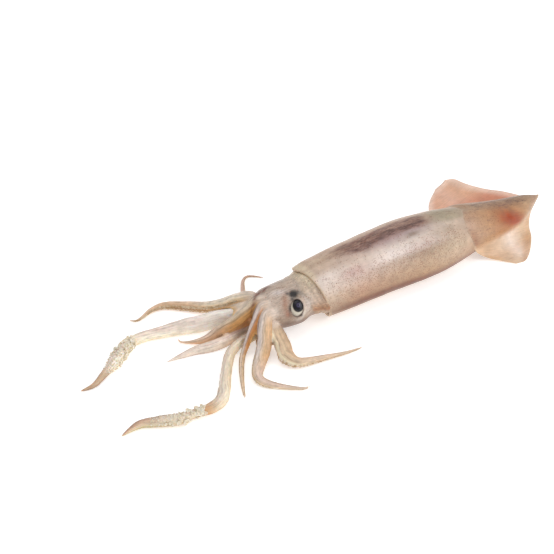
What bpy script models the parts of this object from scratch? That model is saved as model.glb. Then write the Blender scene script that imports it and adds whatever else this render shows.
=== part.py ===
"""Whole raw squid lying belly down, arms spread on the table.

Metres, +Z up. The tail points to +X, the arms to -X and the squid's left side
to -Y. The origin is on the flat of the belly, under the middle line of the
mantle. Lengths below are in millimetres and become metres when a mesh is made.
"""
import math

import bmesh
import bpy
from mathutils import Vector

MM = 0.001
GAP = 0.35                   # clearance between neighbouring pieces
SINK = 1.0                   # how far a round belly is pressed flat by the table

# mantle: the conical body tube
MANTLE_LENGTH = 220.0
MOUTH_X = -95.0              # middle of the mouth of the mantle
MOUTH_SLANT = 8.0            # the back of the rim reaches this far past the middle
SLANT_REACH = 0.3            # share of the length over which the slant dies out
MANTLE_WALL = 2.4            # flesh thickness at the rim
MOUTH_DEPTH = 20.0           # depth of the recess that holds the neck
# rings of the recess and the rounded rim: share of the wall inwards, distance inwards
RIM_RINGS = ((1.0, MOUTH_DEPTH), (1.0, 1.2), (0.6, 0.0), (0.2, 0.0))
FIRST_RING = 0.4             # the first outer ring's distance from the rim, in ring steps
MANTLE_RINGS = 22
MANTLE_SIDES = 26
LOWER_FULLNESS = 2.8         # power of the lower half's section, 2 would be an ellipse
FULL_REACH = (0.60, 0.74)    # shares of the length where that fullness starts and ends fading
NEAR_SPREAD = 3.4            # how far the slack near side sags out at its widest
# share of the length, half width, height of the back, height of the belly
MANTLE_STATIONS = (
    (0.00, 20.0, 43.5, 0.0),
    (0.12, 21.8, 45.8, 0.0),
    (0.36, 23.2, 47.2, 0.0),
    (0.51, 21.6, 44.0, 0.0),
    (0.65, 18.6, 37.6, 0.0),
    (0.77, 15.0, 31.0, 0.0),
    (0.85, 12.0, 27.2, 1.5),
    (0.93, 8.0, 24.3, 8.0),
    (1.00, 1.2, 21.6, 19.2),
)

# fins: one thin sheet over the tail, the left flap on the table, the right one raised
FIN_THICKNESS = 1.5
FIN_GAP = 0.9                # clearance between the sheet and the mantle under it
FIN_COLUMNS = 15             # columns in each flap
FIN_ROWS = 13
WRAP_STEPS = 14              # steps of a flap's section down the mantle's side
FLARE_STEPS = 8              # steps of the curve from the side to the level part
LEAST_FLARE = 6.0            # shortest run of that curve
FLARE_RUN = 0.9              # its run for each millimetre that it comes down
FLARE_EASE = 1.4             # how slowly it starts to turn outwards
FLAP_REST = 60.0             # level part beyond the curve, longer than any flap needs
# where a flap leaves the mantle's side, in degrees above its middle
LEFT_LEAVE = -18.0
RIGHT_LEAVE = 15.0
LEFT_LEVEL = 0.1             # height of the left flap over the table
# span from the ridge to the wing tip, then the front and the rear margin: distance
# from the ridge along the sheet, and x
LEFT_FLAP = (61.0,
             ((0, 46), (8, 40), (16, 37), (30, 42), (40, 48), (48, 56), (55, 64), (61, 73)),
             ((0, 126.5), (10, 118), (22, 110), (36, 102), (50, 92), (57, 85), (61, 78)))
RIGHT_FLAP = (71.0,
              ((0, 46), (9, 40), (18, 37), (34, 42), (48, 50), (58, 58), (65, 66), (71, 76)),
              ((0, 126.5), (11, 118), (25, 109), (42, 99.5), (56, 93), (66, 91), (71, 85)))
# x and height of the raised right flap beyond the mantle
RIGHT_LEVELS = ((60.0, 12.0), (115.0, 18.5))

# head: neck, collar, eyes and the crown that carries the arms
HEAD_RINGS = 17
HEAD_SIDES = 22
# x, half width, half height, middle y, middle z
HEAD_STATIONS = (
    (-84.0, 12.5, 12.0, 0.0, 20.0),
    (-91.0, 14.8, 15.0, 0.0, 20.0),
    (-98.0, 16.3, 16.0, 0.0, 19.4),
    (-104.0, 16.8, 15.6, 0.6, 18.8),
    (-113.0, 18.8, 16.4, 0.8, 17.8),
    (-123.0, 18.0, 15.8, 1.0, 17.6),
    (-131.0, 16.6, 14.4, 1.2, 17.9),
    (-134.0, 14.8, 12.6, 1.2, 17.8),
)
EYE_RADIUS = 6.0
BALL_SEGMENTS = 16
BALL_RINGS = 10
# the head is rolled a little, so the left eye looks up and the right eye down
EYE_CENTRES = {
    "eye_left": Vector((-117.8, -13.0, 24.6)),
    "eye_right": Vector((-117.8, 15.0, 12.5)),
}

# ring of arm roots on the face of the crown
CROWN_X = -134.0 - GAP
CROWN_Y = 1.0
CROWN_Z = 17.8
RING_HALF_WIDTH = 11.6
RING_HALF_HEIGHT = 9.7
ROOT_RADIUS = 2.9
STRAIGHT = (-1.5, -3.5)      # an arm leaves the crown squarely past these distances
TABLE_GAP = 0.05             # clearance under an arm that lies on the table
ROUTE_STEPS = 16             # fine steps between two points of a route
ARM_POINTS = 24
TENTACLE_POINTS = 32
ARM_BEVEL = 3                # makes a ten-sided tube

# angle: place on the ring in degrees, from the left side over the top
# route: the points that the middle line passes beyond the root
# taper: share of the length, and radius there
ARMS = {
    "arm_left_1": {
        "angle": 68,
        "route": ((-142, -2.6, 25), (-151, -6, 17), (-158, -9, 9), (-163, -12, 3.5), (-170, -19, 2.2),
                  (-178, -30, 1.8), (-186, -43, 1.5), (-193, -56, 0.8)),
        "taper": ((0, ROOT_RADIUS), (0.12, 3), (0.3, 2.2), (0.6, 1.7), (0.85, 1.1), (1, 0.4)),
    },
    "arm_left_2": {
        "angle": 31,
        "route": ((-142, -9.8, 22), (-147, -14, 15.5), (-151, -19, 8.5), (-157, -25, 4.8), (-165, -33, 4.2),
                  (-172, -41, 3.6), (-174, -48, 3.2), (-170, -56, 2.6), (-161, -65, 1.9), (-153, -71, 1.4),
                  (-147, -71, 0.8)),
        "taper": ((0, ROOT_RADIUS), (0.25, 4.6), (0.45, 4.1), (0.62, 3), (0.82, 1.5), (1, 0.4)),
    },
    "arm_left_3": {
        "angle": -14,
        "route": ((-138.8, -14, 12), (-140, -20, 9.5), (-142.5, -29, 6.8), (-145.5, -38, 5.4),
                  (-142, -46, 3.8), (-134, -49, 3), (-119, -52, 2.2), (-104, -55, 1.5), (-89, -56, 0.8)),
        "taper": ((0, ROOT_RADIUS), (0.1, 3.6), (0.24, 4.9), (0.34, 5), (0.46, 3.5), (0.7, 1.9), (1, 0.4)),
    },
    "arm_left_4": {
        "angle": 308,
        "route": ((-141, -8.5, 8), (-146, -9, 4.5), (-149, -12, 3), (-147, -15, 2.6), (-141, -14.5, 2.2),
                  (-134.5, -12, 1.6), (-129, -9, 0.9)),
        "taper": ((0, ROOT_RADIUS), (0.4, 2.6), (0.7, 1.9), (1, 0.5)),
    },
    "arm_right_1": {
        "angle": 100,
        "route": ((-142, 4.8, 26.6), (-149, 5, 22), (-156, 7, 17), (-163, 9.5, 12.5), (-170, 13.5, 7.5),
                  (-178, 15, 3.5), (-186, 18, 2.4), (-193, 24, 1.4), (-193, 30, 0.8)),
        "taper": ((0, ROOT_RADIUS), (0.25, 4), (0.5, 3.6), (0.7, 2.7), (0.85, 1.3), (1, 0.4)),
    },
    "arm_right_2": {
        "angle": 135,
        "route": ((-140, 13, 26.5), (-145, 22, 21.5), (-150, 34, 12), (-157, 46, 5.2), (-168, 58, 3.6),
                  (-180, 68, 2.9), (-191, 69, 2.4), (-201, 66, 1.6), (-206, 66, 1.1), (-210, 70, 0.7)),
        "taper": ((0, ROOT_RADIUS), (0.2, 4.1), (0.45, 3.7), (0.7, 2.6), (0.86, 1.4), (1, 0.4)),
    },
    "arm_right_3": {
        "angle": 170,
        "route": ((-139.5, 16.2, 16.3), (-137, 25, 8.5), (-130, 36, 4), (-124, 46, 2.4), (-119, 54, 1.9),
                  (-113, 62, 1.5), (-107, 65, 1.2), (-101, 61, 1), (-97, 56, 0.7)),
        "taper": ((0, ROOT_RADIUS), (0.2, 2.9), (0.5, 1.9), (0.75, 1.2), (1, 0.4)),
    },
    "arm_right_4": {
        "angle": 244,
        "route": ((-142, 5.8, 5.2), (-152, 7, 4), (-162, 6, 3.8), (-172, 5, 3.9), (-182, 6, 3.7),
                  (-192, 9, 3), (-203, 10, 2), (-215, 11, 0.8)),
        "taper": ((0, ROOT_RADIUS), (0.2, 3.3), (0.5, 3.7), (0.75, 2.6), (1, 0.4)),
    },
}
TENTACLES = {
    "tentacle_left": {
        "angle": 277,
        "route": ((-141, -1.2, 5.5), (-150, -2, 4), (-160, -3, 3.9), (-169, -7, 4), (-177, -13, 4.2),
                  (-190, -28, 4.2), (-200, -41, 4.4), (-209, -51, 4.6), (-219, -54, 4), (-231, -52, 3.4),
                  (-244, -52, 4.3), (-256, -46, 3.6), (-268, -40, 3.1), (-277, -40, 2.2), (-285, -41, 0.8)),
        "taper": ((0, ROOT_RADIUS), (0.1, 3.5), (0.35, 3.9), (0.55, 4.4), (0.7, 3.2), (0.77, 4.2), (0.9, 3),
                  (1, 0.4)),
    },
    "tentacle_right": {
        "angle": 208,
        "route": ((-142, 12.2, 9.8), (-150, 17, 7.5), (-160, 23, 6.4), (-172, 27, 6.2), (-185, 34, 5.7),
                  (-199, 39, 4.8), (-214, 43, 4.2), (-226, 42, 4.4), (-238, 35, 5.1), (-250, 27, 5),
                  (-261, 22, 3), (-272, 17, 1.9), (-282, 18, 0.8)),
        "taper": ((0, ROOT_RADIUS), (0.07, 3.4), (0.18, 5.6), (0.3, 6), (0.52, 4), (0.65, 4.1), (0.78, 5.1),
                  (0.86, 3.2), (1, 0.4)),
    },
}

COLOURS = {
    "skin": (0.62, 0.50, 0.42, 0.38),
    "fin": (0.66, 0.44, 0.34, 0.40),
    "head": (0.58, 0.48, 0.42, 0.36),
    "eye": (0.02, 0.02, 0.04, 0.12),
    "arm": (0.64, 0.47, 0.35, 0.38),
    "tentacle": (0.66, 0.50, 0.38, 0.36),
}


def clear_scene():
    for thing in list(bpy.data.objects):
        bpy.data.objects.remove(thing, do_unlink=True)


def make_materials():
    made = {}
    for name, (red, green, blue, rough) in COLOURS.items():
        material = bpy.data.materials.new(name)
        material.use_nodes = True
        shader = material.node_tree.nodes["Principled BSDF"]
        shader.inputs["Base Color"].default_value = (red, green, blue, 1.0)
        shader.inputs["Roughness"].default_value = rough
        shader.inputs["Metallic"].default_value = 0.0
        made[name] = material
    return made


def smooth_at(rows, place):
    """Read a table whose first column only rises or only falls, on a smooth curve."""
    keys = [row[0] for row in rows]
    rising = keys[-1] > keys[0]
    last = len(rows) - 2
    index = 0
    while index < last and (place > keys[index + 1]) == rising:
        index += 1
    left = keys[index]
    right = keys[index + 1]
    share = min(1.0, max(0.0, (place - left) / (right - left)))
    values = []
    for column in range(1, len(rows[0])):
        start = rows[index][column]
        end = rows[index + 1][column]
        chord = (end - start) / (right - left)
        slope_start = column_slope(rows, keys, index, column, chord)
        slope_end = column_slope(rows, keys, index + 1, column, chord)
        step = right - left
        square = share * share
        cube = square * share
        value = (2 * cube - 3 * square + 1) * start + (cube - 2 * square + share) * step * slope_start
        value += (3 * square - 2 * cube) * end + (cube - square) * step * slope_end
        values.append(value)
    return values


def column_slope(rows, keys, index, column, fallback):
    if index == 0 or index == len(rows) - 1:
        return fallback
    before = (rows[index][column] - rows[index - 1][column]) / (keys[index] - keys[index - 1])
    after = (rows[index + 1][column] - rows[index][column]) / (keys[index + 1] - keys[index])
    if before * after <= 0:
        return 0.0
    return 2 * before * after / (before + after)


def smooth_route(points, count):
    """Evenly spaced points on a smooth curve through the route's own points."""
    fine = []
    for index in range(len(points) - 1):
        before = points[max(index - 1, 0)]
        start = points[index]
        end = points[index + 1]
        after = points[min(index + 2, len(points) - 1)]
        for step in range(ROUTE_STEPS):
            share = step / ROUTE_STEPS
            square = share * share
            cube = square * share
            fine.append(0.5 * ((2 * start) + (end - before) * share
                               + (2 * before - 5 * start + 4 * end - after) * square
                               + (3 * start - before - 3 * end + after) * cube))
    fine.append(points[-1])
    reach = [0.0]
    for first, second in zip(fine, fine[1:]):
        reach.append(reach[-1] + (second - first).length)
    even = []
    place = 0
    for index in range(count):
        wanted = reach[-1] * index / (count - 1)
        while place < len(fine) - 2 and reach[place + 1] < wanted:
            place += 1
        share = (wanted - reach[place]) / (reach[place + 1] - reach[place])
        even.append(fine[place].lerp(fine[place + 1], share))
    return even


def skin_rings(name, rings, material, collection):
    """Loft through rings of equal size and close both ends."""
    mesh = bpy.data.meshes.new(name)
    shape = bmesh.new()
    loops = []
    for ring in rings:
        loops.append([shape.verts.new(point * MM) for point in ring])
    sides = len(rings[0])
    for first, second in zip(loops, loops[1:]):
        for index in range(sides):
            following = (index + 1) % sides
            shape.faces.new((first[index], first[following], second[following], second[index]))
    shape.faces.new(loops[0][::-1])
    shape.faces.new(loops[-1])
    bmesh.ops.recalc_face_normals(shape, faces=shape.faces)
    shape.to_mesh(mesh)
    shape.free()
    mesh.materials.append(material)
    mesh.shade_smooth()
    thing = bpy.data.objects.new(name, mesh)
    collection.objects.link(thing)
    return thing


def mantle_section(share):
    """Half width, half height, middle height and belly height at a share of the length."""
    half_width, back, belly = smooth_at(MANTLE_STATIONS, share)
    low = belly - SINK * (1.0 - share)
    return half_width, (back - low) / 2, (back + low) / 2, belly


def fullness_at(share):
    """1 where the lower half is fullest, 0 where the section is an ellipse."""
    fade = min(1.0, max(0.0, (FULL_REACH[1] - share) / (FULL_REACH[1] - FULL_REACH[0])))
    return fade * fade * (3 - 2 * fade)


def near_sag(share):
    """How far the near side sags out beyond the half width."""
    reach = 0.14 if share < 0.48 else 0.12
    return NEAR_SPREAD * fullness_at(share) * math.exp(-((share - 0.48) / reach) ** 2)


def section_part(angle, share):
    """Shares of the half width and half height at an angle: round above, fuller below."""
    power = 1.0 + (2.0 / LOWER_FULLNESS - 1.0) * fullness_at(share) if math.sin(angle) < 0 else 1.0
    across = math.copysign(abs(math.cos(angle)) ** power, math.cos(angle))
    return across, math.copysign(abs(math.sin(angle)) ** power, math.sin(angle))


def mantle_ring(share, inset=0.0, push=0.0):
    half_width, half_height, middle, belly = mantle_section(share)
    slant = MOUTH_SLANT * max(0.0, 1.0 - share / SLANT_REACH) ** 2
    ring = []
    for index in range(MANTLE_SIDES):
        angle = 2 * math.pi * (index + 0.5) / MANTLE_SIDES - math.pi / 2
        across, high = section_part(angle, share)
        reach = half_width - inset + (near_sag(share) if across < 0 else 0.0)
        y = reach * across
        z = middle + (half_height - inset) * high
        x = MOUTH_X + MANTLE_LENGTH * share - slant * math.sin(angle) + push
        ring.append(Vector((x, y, max(z, belly + inset))))
    return ring


def make_mantle(material, collection):
    """From the bottom of the recess out over the rim and back to the tip of the tail."""
    rings = [mantle_ring(0.0, MANTLE_WALL * wall, depth) for wall, depth in RIM_RINGS]
    for index in range(MANTLE_RINGS):
        share = (index + FIRST_RING) / (MANTLE_RINGS - 1 + FIRST_RING)
        rings.append(mantle_ring(share))
    return skin_rings("mantle", rings, material, collection)


def share_at(x):
    return min(1.0, (x - MOUTH_X) / MANTLE_LENGTH)


def flap_path(x, side, leave, level):
    """Section of a flap: down the mantle's side, off it, then out at the given level."""
    half_width, half_height, middle, _ = mantle_section(share_at(x))
    path = []
    for step in range(WRAP_STEPS + 1):
        angle = math.radians(90 + (leave - 90) * step / WRAP_STEPS)
        across, high = section_part(angle, share_at(x))
        reach = half_width + FIN_GAP + (near_sag(share_at(x)) if side < 0 else 0.0)
        path.append((side * reach * across, middle + (half_height + FIN_GAP) * high))
    start_y, start_z = path[-1]
    run = max(LEAST_FLARE, FLARE_RUN * (start_z - level))
    for step in range(1, FLARE_STEPS + 1):
        share = step / FLARE_STEPS
        y = start_y + side * run * share ** FLARE_EASE
        path.append((y, level + (start_z - level) * (1 - share) ** 2))
    path.append((path[-1][0] + side * FLAP_REST, level))
    return path


def left_flap_path(x):
    return flap_path(x, -1, LEFT_LEAVE, LEFT_LEVEL)


def right_flap_path(x):
    return flap_path(x, 1, RIGHT_LEAVE, smooth_at(RIGHT_LEVELS, x)[0])


def point_along(path, distance):
    for (y, z), (next_y, next_z) in zip(path, path[1:]):
        step = math.hypot(next_y - y, next_z - z)
        if distance <= step:
            share = distance / step
            return y + (next_y - y) * share, z + (next_z - z) * share
        distance -= step
    return path[-1]


def flap_lines(flap, path_at, columns):
    """Lines of points from the front to the rear margin, one for each column."""
    span, front_margin, rear_margin = flap
    lines = []
    for column in columns:
        distance = span * column / FIN_COLUMNS
        front = smooth_at(front_margin, distance)[0]
        rear = smooth_at(rear_margin, distance)[0]
        line = []
        for row in range(FIN_ROWS):
            x = front + (rear - front) * row / (FIN_ROWS - 1)
            y, z = point_along(path_at(x), distance)
            line.append(Vector((x, y, z)))
        lines.append(line)
    return lines


def make_fins(material, collection):
    """One sheet from the left wing tip over the ridge to the right wing tip."""
    lines = flap_lines(LEFT_FLAP, left_flap_path, range(FIN_COLUMNS, 0, -1))
    lines += flap_lines(RIGHT_FLAP, right_flap_path, range(FIN_COLUMNS + 1))
    mesh = bpy.data.meshes.new("fins")
    shape = bmesh.new()
    grid = []
    for line in lines:
        grid.append([shape.verts.new(point * MM) for point in line])
    for first, second in zip(grid, grid[1:]):
        for row in range(FIN_ROWS - 1):
            shape.faces.new((first[row], first[row + 1], second[row + 1], second[row]))
    shape.to_mesh(mesh)
    shape.free()
    mesh.materials.append(material)
    mesh.shade_smooth()
    fins = bpy.data.objects.new("fins", mesh)
    collection.objects.link(fins)
    thick = fins.modifiers.new("thickness", "SOLIDIFY")
    thick.thickness = FIN_THICKNESS * MM
    thick.offset = 1.0
    return fins


def make_head(material, collection):
    rings = []
    first_x = HEAD_STATIONS[0][0]
    last_x = HEAD_STATIONS[-1][0]
    for index in range(HEAD_RINGS):
        x = first_x + (last_x - first_x) * index / (HEAD_RINGS - 1)
        half_width, half_height, middle_y, middle_z = smooth_at(HEAD_STATIONS, x)
        ring = []
        for side in range(HEAD_SIDES):
            angle = 2 * math.pi * side / HEAD_SIDES
            y = middle_y + half_width * math.cos(angle)
            z = middle_z + half_height * math.sin(angle)
            ring.append(Vector((x, y, max(z, 0.0))))
        rings.append(ring)
    return skin_rings("head", rings, material, collection)


def make_ball(name, centre, radius, collection):
    shape = bmesh.new()
    bmesh.ops.create_uvsphere(shape, u_segments=BALL_SEGMENTS, v_segments=BALL_RINGS, radius=radius * MM)
    bmesh.ops.translate(shape, verts=shape.verts, vec=centre * MM)
    mesh = bpy.data.meshes.new(name)
    shape.to_mesh(mesh)
    shape.free()
    mesh.shade_smooth()
    ball = bpy.data.objects.new(name, mesh)
    collection.objects.link(ball)
    return ball


def make_eyes(head, material, collection, cutters):
    """A ball in a socket on each side of the head."""
    for name, centre in EYE_CENTRES.items():
        eye = make_ball(name, centre, EYE_RADIUS, collection)
        eye.data.materials.append(material)
        cutter = make_ball("socket_" + name, centre, EYE_RADIUS + GAP, cutters)
        cutter.hide_render = True
        cutter.display_type = "WIRE"
        cut = head.modifiers.new("socket_" + name, "BOOLEAN")
        cut.operation = "DIFFERENCE"
        cut.object = cutter


def make_arm(name, plan, count, material, collection):
    """A tapered tube from its place on the crown along its route."""
    angle = math.radians(plan["angle"])
    root_y = CROWN_Y - RING_HALF_WIDTH * math.cos(angle)
    root_z = CROWN_Z + RING_HALF_HEIGHT * math.sin(angle)
    root = Vector((CROWN_X, root_y, root_z))
    points = [root + Vector((distance, 0.0, 0.0)) for distance in STRAIGHT]
    points += [Vector(point) for point in plan["route"]]
    line = [root] + smooth_route(points, count - 1)
    curve = bpy.data.curves.new(name, "CURVE")
    curve.dimensions = "3D"
    curve.bevel_depth = MM
    curve.bevel_resolution = ARM_BEVEL
    curve.use_fill_caps = True
    spline = curve.splines.new("POLY")
    spline.points.add(count - 1)
    for index, centre in enumerate(line):
        radius = smooth_at(plan["taper"], index / (count - 1))[0]
        height = max(centre.z, radius + TABLE_GAP)
        spline.points[index].co = (centre.x * MM, centre.y * MM, height * MM, 1.0)
        spline.points[index].radius = radius
    spline.use_smooth = True
    curve.materials.append(material)
    arm = bpy.data.objects.new(name, curve)
    collection.objects.link(arm)
    return arm


def main():
    clear_scene()
    squid = bpy.data.collections.new("squid")
    cutters = bpy.data.collections.new("cutters")
    bpy.context.scene.collection.children.link(squid)
    bpy.context.scene.collection.children.link(cutters)
    materials = make_materials()
    make_mantle(materials["skin"], squid)
    make_fins(materials["fin"], squid)
    head = make_head(materials["head"], squid)
    make_eyes(head, materials["eye"], squid, cutters)
    for name, plan in ARMS.items():
        make_arm(name, plan, ARM_POINTS, materials["arm"], squid)
    for name, plan in TENTACLES.items():
        make_arm(name, plan, TENTACLE_POINTS, materials["tentacle"], squid)


main()
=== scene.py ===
import math
import random

import bmesh
import bpy
import numpy as np
from mathutils import Euler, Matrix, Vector


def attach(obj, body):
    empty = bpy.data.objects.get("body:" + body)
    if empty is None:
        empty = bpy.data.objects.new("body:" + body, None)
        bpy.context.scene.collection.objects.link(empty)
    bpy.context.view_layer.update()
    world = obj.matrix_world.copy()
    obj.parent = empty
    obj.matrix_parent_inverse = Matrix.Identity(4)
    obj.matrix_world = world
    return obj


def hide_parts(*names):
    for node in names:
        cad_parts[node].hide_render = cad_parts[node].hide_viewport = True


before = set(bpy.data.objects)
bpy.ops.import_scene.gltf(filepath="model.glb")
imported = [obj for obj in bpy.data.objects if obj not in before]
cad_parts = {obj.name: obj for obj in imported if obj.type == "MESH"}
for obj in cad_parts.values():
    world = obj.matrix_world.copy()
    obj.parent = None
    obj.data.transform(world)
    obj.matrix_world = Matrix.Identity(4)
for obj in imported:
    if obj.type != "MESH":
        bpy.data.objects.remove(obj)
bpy.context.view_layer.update()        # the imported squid, one body named root

mm = 0.001
print("frame loaded:", ", ".join(sorted(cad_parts)))


# small helpers

def hexRgb(text):
    # linear colour of a hex string
    values = np.array([int(text[i:i + 2], 16) / 255 for i in (0, 2, 4)])
    return np.where(values <= 0.04045, values / 12.92, ((values + 0.055) / 1.055) ** 2.4)


def ease(low, high, value):
    share = np.clip((np.asarray(value, float) - low) / (high - low), 0.0, 1.0)
    return share * share * (3 - 2 * share)


def bump(centre, reach, value):
    return np.exp(-((np.asarray(value, float) - centre) / reach) ** 2)


def spot(first, second, place, size):
    # soft round spot over two measures
    return np.exp(-((first - place[0]) / size[0]) ** 2 - ((second - place[1]) / size[1]) ** 2)


def slopeAt(keys, column, index, fallback):
    if index == 0 or index == len(keys) - 1:
        return fallback
    before = (column[index] - column[index - 1]) / (keys[index] - keys[index - 1])
    after = (column[index + 1] - column[index]) / (keys[index + 1] - keys[index])
    if before * after <= 0:
        return 0.0
    return 2 * before * after / (before + after)


def smoothAt(rows, places):
    # reads a table on smooth curves: one array for each column after the first
    table = np.array(rows, float)
    if table[0, 0] > table[-1, 0]:
        table = table[::-1]
    keys = table[:, 0]
    places = np.clip(np.asarray(places, float), keys[0], keys[-1])
    index = np.clip(np.searchsorted(keys, places, side="right") - 1, 0, len(keys) - 2)
    step = keys[index + 1] - keys[index]
    share = (places - keys[index]) / step
    square, cube = share ** 2, share ** 3
    columns = []
    for column in table[:, 1:].T:
        startSlopes = []
        endSlopes = []
        for i in range(len(keys) - 1):
            chord = (column[i + 1] - column[i]) / (keys[i + 1] - keys[i])
            startSlopes.append(slopeAt(keys, column, i, chord))
            endSlopes.append(slopeAt(keys, column, i + 1, chord))
        value = (2 * cube - 3 * square + 1) * column[index]
        value = value + (cube - 2 * square + share) * step * np.array(startSlopes)[index]
        value = value + (3 * square - 2 * cube) * column[index + 1]
        value = value + (cube - square) * step * np.array(endSlopes)[index]
        columns.append(value)
    return columns


def colourAt(rows, places):
    # reads (place, hex colour) rows at many places
    keys = [row[0] for row in rows]
    table = np.array([hexRgb(row[1]) for row in rows])
    return np.stack([np.interp(places, keys, table[:, i]) for i in range(3)], -1)


def tint(base, hexText, mask):
    mask = np.clip(np.asarray(mask, float), 0.0, 1.0)[..., None]
    return base * (1 - mask) + hexRgb(hexText) * mask


def lengthsAlong(path):
    # length of a path from its first point to each of its points
    steps = np.linalg.norm(np.diff(path, axis=0), axis=1)
    return np.concatenate([[0.0], np.cumsum(steps)])


def smoothRoute(points, count):
    # evenly spaced points on a smooth curve through the route's own points
    points = [Vector(point) for point in points]
    fine = []
    for index in range(len(points) - 1):
        before = points[max(index - 1, 0)]
        start = points[index]
        end = points[index + 1]
        after = points[min(index + 2, len(points) - 1)]
        for step in range(24):
            share = step / 24
            square, cube = share * share, share ** 3
            fine.append(0.5 * ((2 * start) + (end - before) * share
                               + (2 * before - 5 * start + 4 * end - after) * square
                               + (3 * start - before - 3 * end + after) * cube))
    fine.append(points[-1])
    fine = np.array([tuple(point) for point in fine])
    reach = lengthsAlong(fine)
    wanted = np.linspace(0.0, reach[-1], count)
    return np.stack([np.interp(wanted, reach, fine[:, i]) for i in range(3)], -1)


def ripple(points, size, seed):
    # smooth uneven values between -1 and 1 at points in millimetres; size is in millimetres
    draw = random.Random(seed)
    total = np.zeros(len(points))
    for octave, weight in ((1.0, 0.5), (1.9, 0.3), (3.3, 0.2)):
        for _ in range(4):
            way = np.array([draw.uniform(-1, 1) for _ in range(3)])
            way = way / np.linalg.norm(way)
            turn = draw.uniform(0, 2 * math.pi)
            total += weight / 2 * np.sin(points @ way * (2 * math.pi * octave / size) + turn)
    return np.clip(total, -1, 1)


def tubeMesh(name, grid, flip=False):
    # mesh from rings of points in millimetres, closed at both ends
    rows, columns = grid.shape[:2]
    points = grid.reshape(-1, 3) * mm
    faces = []
    for row in range(rows - 1):
        for column in range(columns):
            following = (column + 1) % columns
            faces.append((row * columns + column, row * columns + following,
                          (row + 1) * columns + following, (row + 1) * columns + column))
    last = (rows - 1) * columns
    faces.append(tuple(range(columns))[::-1])
    faces.append(tuple(range(last, last + columns)))
    if flip:
        faces = [face[::-1] for face in faces]
    mesh = bpy.data.meshes.new(name)
    mesh.from_pydata(points.tolist(), [], faces)
    mesh.update()
    mesh.shade_smooth()
    return mesh


def faceOutwards(mesh):
    shape = bmesh.new()
    shape.from_mesh(mesh)
    bmesh.ops.recalc_face_normals(shape, faces=shape.faces)
    shape.to_mesh(mesh)
    shape.free()


def addObject(name, content):
    thing = bpy.data.objects.new(name, content)
    bpy.context.scene.collection.objects.link(thing)
    return thing


def addPiece(name, mesh):
    piece = addObject(name, mesh)
    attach(piece, "root")
    return piece


def addFlesh(name, mesh, material, nodes):
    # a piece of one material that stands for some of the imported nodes
    mesh.materials.clear()
    mesh.materials.append(material)
    piece = addPiece(name, mesh)
    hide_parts(*nodes)


def setAttribute(mesh, name, kind, values):
    field = {"FLOAT": "value", "FLOAT_VECTOR": "vector", "FLOAT_COLOR": "color"}[kind]
    attribute = mesh.attributes.new(name, kind, "POINT")
    attribute.data.foreach_set(field, np.asarray(values).astype(np.float32).ravel())


def unit(vectors):
    return vectors / np.linalg.norm(vectors, axis=-1, keepdims=True)


def setPaint(mesh, colours, dots, streak, grain):
    # colour, the two masks, and the direction of the fibres: metres along and across them
    rgba = np.concatenate([np.clip(colours, 0, 1), np.ones((len(colours), 1))], 1)
    setAttribute(mesh, "paint", "FLOAT_COLOR", rgba)
    setAttribute(mesh, "dots", "FLOAT", np.clip(dots, 0, 1))
    setAttribute(mesh, "streak", "FLOAT", np.clip(streak, 0, 1))
    setAttribute(mesh, "grain", "FLOAT_VECTOR", grain * mm)


def meshPoints(mesh):
    points = np.empty(len(mesh.vertices) * 3, np.float32)
    mesh.vertices.foreach_get("co", points)
    return points.reshape(-1, 3).astype(float) / mm


def setMeshPoints(mesh, points):
    mesh.vertices.foreach_set("co", (points * mm).astype(np.float32).ravel())
    mesh.update()


# materials

skinFinish = {
    "fibre": 0.05,              # how much fibres show
    "fibreSize": (0.011, 0.0010, 0.0010),
    "roughness": 0.40,
    "wetCoat": 0.22,
    "coatRoughness": 0.18,
    "fleshGlow": 0.12,          # subsurface weight
    "glowDepth": 0.0022,        # metres
    "mottleSize": 0.005,
    "mottleDepth": 0.12,
    "dotSpacing": 0.00115,
    "dotRadius": 0.46,          # in spacings
    "dotStrength": 0.58,
    "dotColour": "8E5840",
    "bigDotSpacing": 0.0036,
    "bigDotRadius": 0.19,
    "bigDotStrength": 0.45,
    "bigDotColour": "703E34",
    "streakSize": (0.030, 0.0030, 0.0030),
    "streakStrength": 0.75,
    "streakColour": "7E5E54",
    "darkStreakSize": (0.007, 0.0011, 0.0011),
    "darkStreakStrength": 0.70,
    "darkStreakColour": "46302E",
    "poreScale": 700.0,
    "pore": 0.00010,            # bump heights in metres
    "fibreDepth": 0.00020,
}


def feed(tree, socket, value):
    # links another node's output to the socket, or sets the socket's own value
    if isinstance(value, bpy.types.NodeSocket):
        tree.links.new(value, socket)
    else:
        socket.default_value = value


def addNode(tree, kind, place, **values):
    # the values are inputs of the node or, where it has no such input, its settings
    node = tree.nodes.new(kind)
    node.location = place
    for name, value in values.items():
        if name in node.inputs:
            feed(tree, node.inputs[name], value)
        else:
            setattr(node, name, value)
    return node


def setInputs(tree, node, values):
    for name, value in values.items():
        feed(tree, node.inputs[name], value)


def mixNode(tree, place, factor, below, above, blend="MIX"):
    node = addNode(tree, "ShaderNodeMix", place, data_type="RGBA", blend_type=blend)
    feed(tree, node.inputs[0], factor)
    setInputs(tree, node, {"A": below, "B": above})
    return node.outputs["Result"]


def mathNode(tree, place, operation, *values):
    node = addNode(tree, "ShaderNodeMath", place, operation=operation)
    for socket, value in zip(node.inputs, values):
        feed(tree, socket, value)
    return node.outputs[0]


def rangeNode(tree, place, value, low, high, newLow, newHigh, way="LINEAR"):
    # moves a value from the range low to high into the new range
    node = addNode(tree, "ShaderNodeMapRange", place, interpolation_type=way)
    setInputs(tree, node, {"Value": value, "From Min": low, "From Max": high, "To Min": newLow,
                           "To Max": newHigh})
    return node.outputs[0]


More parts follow.
